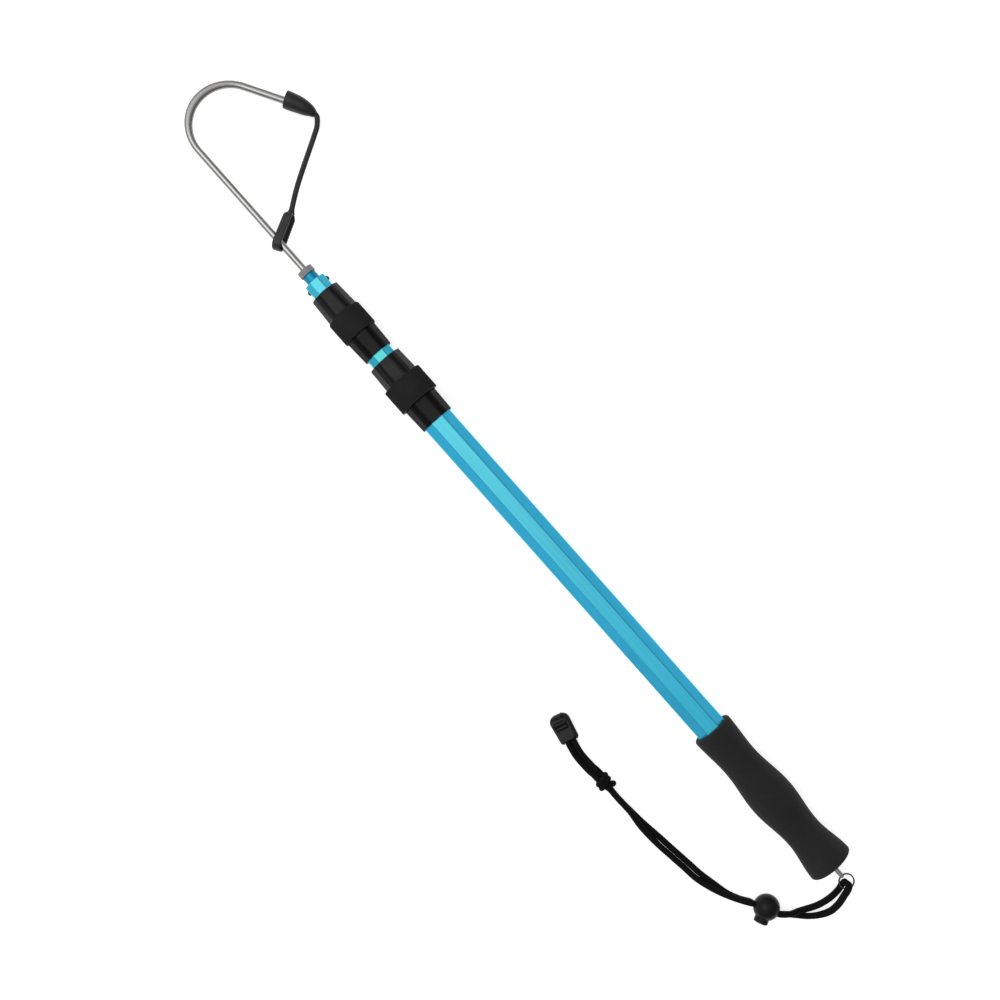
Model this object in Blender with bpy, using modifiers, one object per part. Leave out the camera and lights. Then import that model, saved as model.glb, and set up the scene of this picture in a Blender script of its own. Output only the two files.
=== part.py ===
"""Telescopic gaff lying on its side at its shortest, in metres, with +Z up and the pole along +X.

A station is a distance along the pole from the end face of the butt towards the hook. The pole is three
octagonal tubes that slide in each other, with a twist lock at each mouth. A barbless hook with a rubber
point guard is pinned in the tip tube, and a cord lanyard hangs on a ring at the butt.
"""

import math

import bmesh
import bpy
from mathutils import Matrix, Vector

# Clearances
GAP = 0.0003
SLIDE_GAP = 0.0003
THREAD_GAP = 0.00035

# Tubes: octagons, measured across their flats. What shows of the inner two, with the pole at its
# shortest, sets their lengths
MAIN_ACROSS = 0.0236
MAIN_WALL = 0.0012
MAIN_LENGTH = 0.4572
MIDDLE_ACROSS = 0.0202
MIDDLE_WALL = 0.0011
MIDDLE_SHOWN = 0.0069
TIP_ACROSS = 0.0170
TIP_WALL = 0.0011
TIP_SHOWN = 0.0113
CORNER_RADIUS = 0.0014

# Grip
GRIP_LENGTH = 0.1348
GRIP_BUTT_RADIUS = 0.0180
GRIP_LOW_WAIST = 0.0320
GRIP_WAIST_RADIUS = 0.01425
GRIP_SWELL = 0.0670
GRIP_SWELL_RADIUS = 0.0174
GRIP_HIGH_WAIST = 0.1030
GRIP_RIM_RADIUS = 0.0160
GRIP_EDGE = 0.0020

# Butt plug, its pin and ring
PLUG_FLANGE = 0.0024
PLUG_STEM = 0.0223
PIN_RADIUS = 0.00188
PIN_REACH = 0.0130
PIN_END_PAST_NUT = 0.0015
PIN_NUT_ACROSS = 0.0070
PIN_NUT_LENGTH = 0.0032
RING_RADIUS = 0.0056
RING_WIRE = 0.0011
RING_WIRE_HEIGHT = 0.00055
RING_PITCH = 0.00099
RING_TURNS = 1.9
RING_HOLE_RADIUS = 0.0013
RING_HOLE_STATION = -0.0114
RING_START = math.radians(115.0)

# Lower twist lock
LOWER_SHOULDER = 0.0002
LOWER_BODY_LENGTH = 0.0194
LOWER_BODY_END_RADIUS = 0.0137
LOWER_BODY_RADIUS = 0.0142
LOWER_NECK_RADIUS = 0.0131
LOWER_NECK_LENGTH = 0.0196
LOWER_RING_RADIUS = 0.0165
LOWER_RING_LENGTH = 0.0207
LOWER_RING_CHAMFER = 0.0005
LOWER_NUT_RADIUS = 0.0143
LOWER_NUT_END_RADIUS = 0.0137
LOWER_NUT_LENGTH = 0.0189
LOWER_BODY_FLUTE_DEPTH = 0.0008
LOWER_NUT_FLUTE_DEPTH = 0.0013

# Upper twist lock
UPPER_SHOULDER = 0.0007
UPPER_BODY_LENGTH = 0.0190
UPPER_BODY_END_RADIUS = 0.0122
UPPER_BODY_RADIUS = 0.0129
UPPER_NECK_RADIUS = 0.0119
UPPER_NECK_LENGTH = 0.0190
UPPER_RING_RADIUS = 0.0141
UPPER_RING_LENGTH = 0.0201
UPPER_RING_CHAMFER = 0.0013
UPPER_NUT_RADIUS = 0.01295
UPPER_NUT_END_RADIUS = 0.0120
UPPER_NUT_LENGTH = 0.0208
UPPER_BODY_FLUTE_DEPTH = 0.0010
UPPER_NUT_FLUTE_DEPTH = 0.0013

# Both locks
FLUTES = 6
FLUTE_RADIUS = 0.0030
FLUTE_RING_DEPTH = 0.0004
COLLET_LENGTH = 0.0130
COLLET_WALL = 0.0015
COLLET_TAPER = 0.0006
COLLET_SLOTS = 4
COLLET_SLOT_WIDTH = 0.0010
COLLET_SLOT_LENGTH = 0.0095
NUT_LIP = 0.0005

# Guide plugs at the feet of the two sliding tubes
GUIDE_FLANGE = 0.0060
GUIDE_SPIGOT = 0.0100
GUIDE_BORE_RADIUS = 0.0040

# Hook seat, rivet and collar
SEAT_DEPTH = 0.0187
SEAT_NECK_RADIUS = 0.0054
SEAT_NECK_LENGTH = 0.0067
RIVET_RADIUS = 0.0013
RIVET_HEAD_RADIUS = 0.0019
RIVET_HEAD_HEIGHT = 0.0011
RIVET_FROM_END = 0.0043
COLLAR_RADIUS = 0.00625
COLLAR_LENGTH = 0.0048

# Hook
WIRE_RADIUS = 0.0025
SHANK_IN_TUBE = 0.0017
SHANK_LENGTH = 0.1317
BEND_RADIUS = 0.0311
BEND_ANGLE = math.radians(149.3)
# The wire is forged wider in the bend, and stays a little wider towards the point
BEND_SWELL = 0.32
POINT_SWELL = 0.12
POINT_LENGTH = 0.0496
POINT_TAPER = 0.0180
POINT_TIP_RADIUS = 0.0002
POINT_CURVE = 1.4

# Point guard
CAP_COVER = 0.0180
CAP_LENGTH = 0.0241
CAP_RADIUS = 0.0070
CAP_OFFSET = 0.0012
CAP_BORE_ROOM = 0.0006
CAP_STEP = 0.0024
# Where the cap's shape changes: share of its length, and shares of its radius that give its own
# radius and its shift towards the shank
CAP_SECTIONS = (
    (0.0, 1.0, 0.0),
    (0.22, 0.98, 0.05),
    (0.48, 0.91, 0.11),
    (0.70, 0.79, 0.24),
    (0.875, 0.60, 0.365),
    (1.0, 0.40, 0.53),
)
STRAP_WIDTH = 0.0041
STRAP_THICKNESS = 0.0026
STRAP_STEP = 0.0050
STRAP_STRAIGHT_END = 0.0200
# Where the strap turns towards the eyelet: how far past the cap's end, and towards the shank
STRAP_LEAVING = 0.0020
STRAP_TURN = (
    (0.0061, 0.0078),
    (0.0064, 0.0134),
)
EYELET_ALONG_SHANK = 0.0401
EYELET_LENGTH = 0.0310
EYELET_BELOW_SHANK = 0.0069
EYELET_WALL = 0.0020
EYELET_HOLE_HEIGHT = 0.0084
EYELET_STRAP_END_RADIUS = 0.0040
EYELET_WIDTH = 0.0066
EYELET_LEAN = math.radians(26.0)
EYELET_ROLL = math.radians(-16.0)

# Lanyard cord
CORD_RADIUS = 0.0022
CORD_PINCHED_RADIUS = 0.0019
CORD_PAIR_SPACING = 0.0048
FLOOR_CLEAR = 0.0001
CORD_STEP = 0.0097

# Cord lock
BALL_RADIUS = 0.0101
BALL_X = 0.0054
BALL_Y = 0.0577
BALL_TURN = math.radians(26.0)
CORD_HOLE_OFFSET = 0.0012
CORD_PINCH_START = 0.0102
CORD_PINCH_EASE = 0.0022
PLUNGER_RADIUS = 0.0055
PLUNGER_REACH = 0.0124
PLUNGER_EDGE = 0.0006
PLUNGER_TRAVEL = 0.0025
PLUNGER_END_WALL = 0.0014
SPRING_WIRE_RADIUS = 0.00022
SPRING_RADIUS = 0.0026
SPRING_TURNS = 3.5
SPRING_LENGTH = 0.0050

# Knot
KNOT_X = 0.1556
KNOT_Y = 0.0868
KNOT_HALF_LENGTH = 0.0072
KNOT_CORE_RADIUS = 0.0046
KNOT_WRAP_RADIUS = 0.0046
KNOT_WRAP_THICKNESS = 0.0020
KNOT_FLATNESS = 0.9
# The knot's wraps: place along it, and lean and roll in degrees
KNOT_WRAPS = (
    (-0.0035, 24, 0),
    (0.0, -38, 50),
    (0.0033, 22, -30),
)

# End clip
CLIP_X = 0.2054
CLIP_Y = 0.0825
CLIP_TURN = math.radians(-14.7)
CLIP_LENGTH = 0.0224
CLIP_WIDTH = 0.0146
CLIP_BASE_HEIGHT = 0.0058
CLIP_FLOOR = 0.0013
CLIP_TROUGH_LENGTH = 0.0095
CLIP_MOUTH_CORNER = 0.0024
CLIP_HINGE_CORNER = 0.0056
CLIP_EDGE = 0.0008
COVER_EDGE = 0.0005
COVER_NECK = 0.0010
COVER_LENGTH = 0.0176
COVER_WIDTH = 0.0118
COVER_THICKNESS = 0.0018
COVER_SIDE_SHIFT = 0.0010
COVER_MOUTH_CORNER = 0.0026
COVER_HINGE_CORNER = 0.0040
CLIP_PIN_RADIUS = 0.0008
CLIP_PIN_FROM_END = 0.0008
CLIP_EAR_WIDTH = 0.0013
CLIP_EAR_REACH = 0.0013
KNUCKLE_WIDTH = 0.0030
KNUCKLE_RADIUS = 0.0017
COVER_RIBS = 2
RIB_PITCH = 0.0033
RIB_WIDTH = 0.0013
RIB_INSET = 0.0010
RIB_HEIGHT = 0.0006

# Stations that follow from the sizes above
PLUG_FACE = GAP
MAIN_START = PLUG_FACE + PLUG_FLANGE + GAP
MAIN_END = MAIN_START + MAIN_LENGTH
PLUG_END = PLUG_FACE + PLUG_FLANGE + PLUG_STEM
PIN_NUT_START = PLUG_END + GAP
PIN_END = PIN_NUT_START + PIN_NUT_LENGTH + PIN_END_PAST_NUT
MIDDLE_GUIDE_START = PIN_NUT_START + PIN_NUT_LENGTH + GAP
MIDDLE_START = MIDDLE_GUIDE_START + GUIDE_FLANGE + GAP
LOWER_SOCKET = LOWER_BODY_LENGTH - LOWER_SHOULDER
UPPER_SOCKET = UPPER_BODY_LENGTH - UPPER_SHOULDER
LOWER_NUT_END = MAIN_END - LOWER_SOCKET + LOWER_BODY_LENGTH + GAP + LOWER_RING_LENGTH + LOWER_NUT_LENGTH
MIDDLE_END = LOWER_NUT_END + MIDDLE_SHOWN + UPPER_SOCKET
TIP_GUIDE_START = MIDDLE_GUIDE_START + GUIDE_FLANGE + GUIDE_SPIGOT + GAP
TIP_START = TIP_GUIDE_START + GUIDE_FLANGE + GAP
UPPER_NUT_END = MIDDLE_END - UPPER_SOCKET + UPPER_BODY_LENGTH + GAP + UPPER_RING_LENGTH + UPPER_NUT_LENGTH
TIP_END = UPPER_NUT_END + TIP_SHOWN
SEAT_TOP = TIP_END + SEAT_NECK_LENGTH
SHANK_START = TIP_END - SHANK_IN_TUBE
BEND_START = SHANK_START + SHANK_LENGTH
FLOOR = -GRIP_BUTT_RADIUS
CORD_REST = FLOOR + CORD_RADIUS + FLOOR_CLEAR
ALONG_POLE = (0.0, math.radians(90.0), 0.0)
ALONG_PLUNGER = (math.radians(-90.0), 0.0, 0.0)
EIGHTH = math.radians(45.0)


def material(name, colour, roughness, metallic=0.0):
    made = bpy.data.materials.new(name)
    made.use_nodes = True
    shader = made.node_tree.nodes["Principled BSDF"]
    shader.inputs["Base Color"].default_value = (*colour, 1.0)
    shader.inputs["Roughness"].default_value = roughness
    shader.inputs["Metallic"].default_value = metallic
    made.diffuse_color = (*colour, 1.0)
    return made


def empty(name, parent=None, location=(0.0, 0.0, 0.0), rotation=(0.0, 0.0, 0.0)):
    made = bpy.data.objects.new(name, None)
    made.empty_display_size = 0.01
    made.location = location
    made.rotation_euler = rotation
    made.parent = parent
    PARTS.objects.link(made)
    return made


def place(obj, parent, location=(0.0, 0.0, 0.0), rotation=(0.0, 0.0, 0.0), finish=None):
    """Links an object as a part, or as a cutter where it has no finish."""
    obj.parent = parent
    obj.location = location
    obj.rotation_euler = rotation
    if finish is None:
        CUTTERS.objects.link(obj)
        obj.hide_render = True
        obj.display_type = "WIRE"
    else:
        PARTS.objects.link(obj)
        obj.data.materials.append(finish)
    return obj


def boolean(obj, other, operation="DIFFERENCE", solver="EXACT"):
    modifier = obj.modifiers.new(other.name, "BOOLEAN")
    modifier.operation = operation
    modifier.object = other
    modifier.solver = solver


def bevel(obj, width, segments=2):
    modifier = obj.modifiers.new("bevel", "BEVEL")
    modifier.width = width
    modifier.segments = segments
    modifier.limit_method = "ANGLE"


def smooth_mesh(mesh):
    mesh.shade_smooth()
    mesh.set_sharp_from_angle(angle=math.radians(35.0))


def turned(name, profile, parent, station=0.0, finish=None, steps=48, rotation=ALONG_POLE, closed=False):
    """A turned solid from (height, radius) points that run down its outer side, top to bottom."""
    mesh = bpy.data.meshes.new(name)
    points = [(radius, 0.0, height) for height, radius in profile]
    edges = [(i, i + 1) for i in range(len(points) - 1)]
    if closed:
        edges.append((len(points) - 1, 0))
    mesh.from_pydata(points, edges, [])
    obj = place(bpy.data.objects.new(name, mesh), parent, (station, 0.0, 0.0), rotation, finish)
    screw = obj.modifiers.new("turn", "SCREW")
    screw.steps = steps
    screw.render_steps = steps
    screw.use_merge_vertices = True
    screw.merge_threshold = 0.00001
    screw.use_smooth_shade = True
    screw.use_normal_calculate = False
    return obj


def octagon(across, corner=CORNER_RADIUS, corner_steps=2):
    """Points of an octagon with rounded corners, two of its flats square to X."""
    centre = (across / 2 - corner) / math.cos(EIGHTH / 2)
    points = []
    for side in range(8):
        middle = (side + 0.5) * EIGHTH
        for step in range(corner_steps + 1):
            angle = middle + EIGHTH * (step / corner_steps - 0.5)
            x = centre * math.cos(middle) + corner * math.cos(angle)
            y = centre * math.sin(middle) + corner * math.sin(angle)
            points.append((x, y))
    return points


def circle(radius, steps=24):
    return [
        (radius * math.cos(2 * math.pi * i / steps), radius * math.sin(2 * math.pi * i / steps))
        for i in range(steps)
    ]


def outline(name, loops, length):
    """A flat outline, with the later loops as holes, drawn out to a length along its own Z."""
    curve = bpy.data.curves.new(name, "CURVE")
    curve.dimensions = "2D"
    curve.fill_mode = "BOTH"
    curve.extrude = length / 2
    for loop in loops:
        spline = curve.splines.new("POLY")
        spline.points.add(len(loop) - 1)
        for point, (x, y) in zip(spline.points, loop):
            point.co = (x, y, 0.0, 1.0)
        spline.use_cyclic_u = True
    return bpy.data.objects.new(name, curve)


def as_mesh(obj, finish=None):
    """A mesh in place of a curve, with its caps welded, so that it can be cut or can cut."""
    bpy.context.view_layer.update()
    evaluated = obj.evaluated_get(bpy.context.evaluated_depsgraph_get())
    mesh = bpy.data.meshes.new_from_object(evaluated)
    cage = bmesh.new()
    cage.from_mesh(mesh)
    bmesh.ops.remove_doubles(cage, verts=cage.verts, dist=0.000001)
    bmesh.ops.recalc_face_normals(cage, faces=cage.faces)
    cage.to_mesh(mesh)
    cage.free()
    name = obj.name
    parent = obj.parent
    matrix = obj.matrix_world.copy()
    curve = obj.data
    bpy.data.objects.remove(obj)
    bpy.data.curves.remove(curve)
    mesh.materials.clear()
    made = place(bpy.data.objects.new(name, mesh), parent, finish=finish)
    made.matrix_world = matrix
    return made


def prism(name, loops, start, end, finish=None):
    """An outline drawn along the pole from one station to another."""
    obj = outline(name, loops, end - start)
    return place(obj, POLE, ((start + end) / 2, 0.0, 0.0), ALONG_POLE, finish)


def prism_cutter(name, loop, start, end):
    return as_mesh(prism(name, [loop], start, end))


def cylinder(name, radius, length, parent, location, rotation, finish=None, segments=24):
    mesh = bpy.data.meshes.new(name)
    cage = bmesh.new()
    bmesh.ops.create_cone(
        cage, cap_ends=True, segments=segments, radius1=radius, radius2=radius, depth=length
    )
    cage.to_mesh(mesh)
    cage.free()
    smooth_mesh(mesh)
    return place(bpy.data.objects.new(name, mesh), parent, location, rotation, finish)


def box(name, low, high, parent, finish=None):
    """A box between two corners in its parent's frame."""
    low, high = Vector(low), Vector(high)
    mesh = bpy.data.meshes.new(name)
    cage = bmesh.new()
    bmesh.ops.create_cube(cage, size=1.0, matrix=Matrix.Diagonal((*(high - low), 1.0)))
    cage.to_mesh(mesh)
    cage.free()
    return place(bpy.data.objects.new(name, mesh), parent, (low + high) / 2, finish=finish)


def rounded_loop(x_range, y_range, low_corner, high_corner):
    """A rectangle's outline with round corners, one radius at its low X end and one at its high."""
    corner_steps = 5
    loop = []
    for quarter, (x_side, y_side) in enumerate(((1, 1), (0, 1), (0, 0), (1, 0))):
        corner = high_corner if x_side else low_corner
        x_centre = x_range[x_side] + (corner if x_side == 0 else -corner)
        y_centre = y_range[y_side] + (corner if y_side == 0 else -corner)
        for i in range(corner_steps + 1):
            angle = math.radians(90.0) * (quarter + i / corner_steps)
            loop.append((x_centre + corner * math.cos(angle), y_centre + corner * math.sin(angle)))
    return loop


def plate(name, loop, low, high, parent, finish=None):
    """A flat plate of an outline in its parent's XY, from one height to another."""
    count = len(loop)
    points = [(x, y, z) for z in (low, high) for x, y in loop]
    faces = [tuple(reversed(range(count))), tuple(range(count, 2 * count))]
    for i in range(count):
        after = (i + 1) % count
        faces.append((i, after, count + after, count + i))
    mesh = bpy.data.meshes.new(name)
    mesh.from_pydata(points, [], faces)
    return place(bpy.data.objects.new(name, mesh), parent, finish=finish)


def tube(name, points, radius, parent, finish, resolution=2, factors=None):
    """A round wire through the points, its radius scaled at each by a factor."""
    curve = bpy.data.curves.new(name, "CURVE")
    curve.dimensions = "3D"
    curve.bevel_depth = radius
    curve.bevel_resolution = resolution
    curve.use_fill_caps = True
    spline = curve.splines.new("POLY")
    spline.points.add(len(points) - 1)
    for i, (point, place_of) in enumerate(zip(spline.points, points)):
        point.co = (*place_of, 1.0)
        point.radius = factors[i] if factors else 1.0
    spline.use_smooth = True
    return place(bpy.data.objects.new(name, curve), parent, finish=finish)


def distance(a, b):
    """How far apart two route rows lie, whatever else the rows hold."""
    return (b - a).to_3d().length


def smooth_route(route, spacing):
    """Points of a smooth curve through the route's own points, about a spacing apart at most."""
    rows = [Vector(row) for row in route]
    rows = [2 * rows[0] - rows[1], *rows, 2 * rows[-1] - rows[-2]]
    found = [rows[1]]
    for before, start, end, after in zip(rows, rows[1:], rows[2:], rows[3:]):
        knots = [0.0]
        for a, b in ((before, start), (start, end), (end, after)):
            knots.append(knots[-1] + math.sqrt(distance(a, b)))
        count = max(1, round(distance(start, end) / spacing))
        for i in range(1, count + 1):
            t = knots[1] + (knots[2] - knots[1]) * i / count
            found.append(between(before, start, end, after, knots, t))
    return found


def between(before, start, end, after, knots, t):
    """The centripetal Catmull-Rom point at knot value t."""

    def mix(a, b, low, high):
        return a * ((high - t) / (high - low)) + b * ((t - low) / (high - low))

    first = mix(before, start, knots[0], knots[1])
    second = mix(start, end, knots[1], knots[2])
    third = mix(end, after, knots[2], knots[3])
    lower = mix(first, second, knots[0], knots[2])
    upper = mix(second, third, knots[1], knots[3])
    return mix(lower, upper, knots[1], knots[2])


def grip_radius(station):
    """The grip's radius at a station: two waists and a swell, joined by half waves."""
    stations = (0.0, GRIP_LOW_WAIST, GRIP_SWELL, GRIP_HIGH_WAIST, GRIP_LENGTH)
    radii = (GRIP_BUTT_RADIUS, GRIP_WAIST_RADIUS, GRIP_SWELL_RADIUS, GRIP_WAIST_RADIUS, GRIP_RIM_RADIUS)
    for low, high, first, last in zip(stations, stations[1:], radii, radii[1:]):
        if station <= high:
            share = (1 - math.cos(math.pi * (station - low) / (high - low))) / 2
            return first + (last - first) * share
    return radii[-1]


def make_grip():
    edge_steps = 3
    side_steps = 16
    profile = [(GRIP_LENGTH, 0.0)]
    for i in range(edge_steps):
        angle = math.radians(90.0) * i / edge_steps
        height = GRIP_LENGTH - GRIP_EDGE * (1 - math.cos(angle))
        profile.append((height, GRIP_RIM_RADIUS - GRIP_EDGE * (1 - math.sin(angle))))
    for i in range(side_steps + 1):
        station = GRIP_LENGTH - GRIP_EDGE - (GRIP_LENGTH - 2 * GRIP_EDGE) * i / side_steps
        profile.append((station, grip_radius(station)))
    for i in range(1, edge_steps + 1):
        angle = math.radians(90.0) * i / edge_steps
        height = GRIP_EDGE * (1 - math.sin(angle))
        profile.append((height, GRIP_BUTT_RADIUS - GRIP_EDGE * (1 - math.cos(angle))))
    profile.append((0.0, 0.0))
    grip = turned("grip", profile, POLE, finish=FOAM, steps=32)
    bore = octagon(MAIN_ACROSS + 2 * GAP, CORNER_RADIUS + GAP)
    boolean(grip, prism_cutter("grip_bore", bore, -GAP * 10, GRIP_LENGTH + GAP * 10))


def make_tubes():
    for name, across, wall, start, end in (
        ("main_tube", MAIN_ACROSS, MAIN_WALL, MAIN_START, MAIN_END),
        ("middle_tube", MIDDLE_ACROSS, MIDDLE_WALL, MIDDLE_START, MIDDLE_END),
        ("tip_tube", TIP_ACROSS, TIP_WALL, TIP_START, TIP_END),
    ):
        inner = octagon(across - 2 * wall, max(CORNER_RADIUS - wall, CORNER_RADIUS / 4))
        made = prism(name, [octagon(across), inner], start, end, ALUMINIUM)
        if name == "tip_tube":
            made = as_mesh(made, ALUMINIUM)
            boolean(made, RIVET_HOLE)


def inside(across, wall):
    """The flats of a plug that slides into a tube."""
    return across - 2 * wall - 2 * GAP


def make_butt():
    stem_across = inside(MAIN_ACROSS, MAIN_WALL)
    plug = as_mesh(prism("butt_plug", [octagon(stem_across)], PLUG_FACE + PLUG_FLANGE / 2, PLUG_END), PLASTIC)
    flange = prism_cutter("plug_flange", octagon(MAIN_ACROSS), PLUG_FACE, PLUG_FACE + PLUG_FLANGE)
    boolean(plug, flange, "UNION")
    hole_length = 2 * (PLUG_END + GAP * 10)
    hole = cylinder("plug_hole", PIN_RADIUS + GAP, hole_length, POLE, (0.0, 0.0, 0.0), ALONG_POLE)
    boolean(plug, hole)

    dome = PIN_RADIUS * 0.5
    pin_profile = [(PIN_END, 0.0), (PIN_END, PIN_RADIUS - GAP), (PIN_END - GAP, PIN_RADIUS)]
    for i in range(5):
        angle = math.radians(90.0) * i / 4
        pin_profile.append((-PIN_REACH + dome * (1 - math.sin(angle)), PIN_RADIUS * math.cos(angle)))
    pin = turned("butt_pin", pin_profile, POLE, finish=STEEL, steps=20)
    across_pole = (math.radians(90.0), 0.0, 0.0)
    sag = RING_RADIUS - math.sqrt(RING_RADIUS**2 - PIN_RADIUS**2)
    hole_place = (RING_HOLE_STATION - sag / 2, 0.0, 0.0)
    boolean(pin, cylinder("ring_hole", RING_HOLE_RADIUS, 4 * PIN_RADIUS, POLE, hole_place, across_pole))

    hexagon = [
        (
            PIN_NUT_ACROSS / math.sqrt(3) * math.cos(math.radians(60.0) * i),
            PIN_NUT_ACROSS / math.sqrt(3) * math.sin(math.radians(60.0) * i),
        )
        for i in range(6)
    ]
    nut_loops = [hexagon, circle(PIN_RADIUS + GAP)]
    prism("pin_nut", nut_loops, PIN_NUT_START, PIN_NUT_START + PIN_NUT_LENGTH, STEEL)


def make_ring():
    """A split ring: a flat wire wound nearly twice round, on an empty in the pin's cross hole."""
    hinge = empty("ring_hinge", POLE, (RING_HOLE_STATION, 0.0, 0.0))
    flatten = RING_WIRE_HEIGHT / RING_WIRE
    steps = round(RING_TURNS * 18)
    points = []
    for i in range(steps + 1):
        turn = RING_TURNS * i / steps
        angle = RING_START + 2 * math.pi * turn
        height = RING_PITCH * (turn - RING_TURNS / 2) / flatten
        points.append((RING_RADIUS * (math.cos(angle) - 1), RING_RADIUS * math.sin(angle), height))
    ring = tube("split_ring", points, RING_WIRE / 2, hinge, STEEL, 1)
    ring.scale = (1.0, 1.0, flatten)


def flute_cutter(name, low, low_radius, high, high_radius, depth_low, depth_high):
    """Tilted cylinders round the pole that cut the flutes of a taper, a land between two at the top."""
    cage = bmesh.new()
    first = Vector((low_radius - depth_low + FLUTE_RADIUS, 0.0, low))
    last = Vector((high_radius - depth_high + FLUTE_RADIUS, 0.0, high))
    axis = last - first
    tilt = axis.to_track_quat("Z", "Y").to_matrix().to_4x4()
    for i in range(FLUTES):
        angle = 2 * math.pi * (i + 0.5) / FLUTES
        matrix = Matrix.Rotation(angle, 4, "Z") @ Matrix.Translation((first + last) / 2) @ tilt
        bmesh.ops.create_cone(
            cage,
            cap_ends=True,
            segments=12,
            radius1=FLUTE_RADIUS,
            radius2=FLUTE_RADIUS,
            depth=axis.length,
            matrix=matrix,
        )
    mesh = bpy.data.meshes.new(name)
    cage.to_mesh(mesh)
    cage.free()
    return place(bpy.data.objects.new(name, mesh), POLE, (0.0, 0.0, 0.0), ALONG_POLE)


def make_lock(
    prefix,
    tube_across,
    tube_end,
    inner_across,
    socket,
    body_length,
    body_end_radius,
    body_radius,
    neck_radius,
    neck_length,
    ring_radius,
    ring_length,
    ring_chamfer,
    nut_radius,
    nut_end_radius,
    nut_length,
    body_flute_depth,
    nut_flute_depth,
):
    """A twist lock at a tube's mouth: fixed body with a threaded neck, slotted collet and nut."""
    over = 10 * GAP
    edge = GAP
    body_start = tube_end - socket
    body_top = body_start + body_length
    neck_top = body_top + neck_length
    nut_start = body_top + GAP
    ring_top = nut_start + ring_length
    nut_top = ring_top + nut_length

    profile = [
        (neck_top, 0.0),
        (neck_top, neck_radius - edge),
        (neck_top - edge, neck_radius),
        (body_top, neck_radius),
        (body_top, body_radius - edge),
        (body_top - edge, body_radius),
        (body_start + edge, body_end_radius),
        (body_start, body_end_radius - edge),
        (body_start, 0.0),
    ]
    body = turned(prefix + "_lock_body", profile, POLE, finish=PLASTIC, steps=32)
    socket_loop = octagon(tube_across + 2 * GAP, CORNER_RADIUS + GAP)
    socket_end = tube_end + GAP
    boolean(body, prism_cutter(prefix + "_socket", socket_loop, body_start - over, socket_end))
    throat = octagon(inner_across + 2 * SLIDE_GAP, CORNER_RADIUS + SLIDE_GAP)
    boolean(body, prism_cutter(prefix + "_throat", throat, body_start, neck_top + over))
    flutes = flute_cutter(
        prefix + "_body_flutes",
        body_start - over,
        body_end_radius,
        body_top + GAP / 2,
        body_radius,
        body_flute_depth,
        FLUTE_RING_DEPTH,
    )
    boolean(body, flutes)

    collet_start = neck_top + GAP
    collet_top = collet_start + COLLET_LENGTH
    corner_reach = (inner_across / 2 + SLIDE_GAP) / math.cos(EIGHTH / 2)
    collet_radius = corner_reach + COLLET_WALL - CORNER_RADIUS / 10
    collet_profile = [
        (collet_top, 0.0),
        (collet_top, collet_radius - COLLET_TAPER - edge),
        (collet_top - edge, collet_radius - COLLET_TAPER),
        (collet_start, collet_radius),
        (collet_start, 0.0),
    ]
    collet = turned(prefix + "_lock_collet", collet_profile, POLE, finish=NYLON, steps=24)
    boolean(collet, prism_cutter(prefix + "_collet_bore", throat, collet_start - over, collet_top + over))
    for i in range(COLLET_SLOTS // 2):
        slot = box(
            f"{prefix}_collet_slot_{i}",
            (-2 * collet_radius, -COLLET_SLOT_WIDTH / 2, -COLLET_SLOT_LENGTH),
            (2 * collet_radius, COLLET_SLOT_WIDTH / 2, over),
            POLE,
        )
        slot.matrix_local = (
            Matrix.Translation((collet_top - COLLET_SLOT_LENGTH / 2 + over / 2, 0.0, 0.0))
            @ Matrix.Rotation(2 * math.pi * (i + 0.25) / COLLET_SLOTS, 4, "X")
            @ Matrix.Rotation(math.radians(90.0), 4, "Y")
        )
        boolean(collet, slot)

    mouth_radius = corner_reach + NUT_LIP
    bore_radius = neck_radius + THREAD_GAP
    chamber_top = collet_top + GAP
    chamber_start = collet_start + 2 * GAP
    nut_profile = [
        (nut_top, mouth_radius),
        (nut_top, nut_end_radius - edge),
        (nut_top - edge, nut_end_radius),
        (ring_top, nut_radius),
        (ring_top, ring_radius - ring_chamfer),
        (ring_top - ring_chamfer, ring_radius),
        (nut_start + ring_chamfer, ring_radius),
        (nut_start, ring_radius - ring_chamfer),
        (nut_start, bore_radius),
        (chamber_start, bore_radius),
        (chamber_start, collet_radius + GAP),
        (chamber_top, collet_radius - COLLET_TAPER + GAP),
        (chamber_top, mouth_radius),
    ]
    nut = turned(prefix + "_lock_nut", nut_profile, POLE, finish=PLASTIC, steps=32, closed=True)
    flutes = flute_cutter(
        prefix + "_nut_flutes",
        ring_top + GAP / 2,
        nut_radius,
        nut_top + over,
        nut_end_radius,
        FLUTE_RING_DEPTH,
        nut_flute_depth,
    )
    boolean(nut, flutes)


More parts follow.
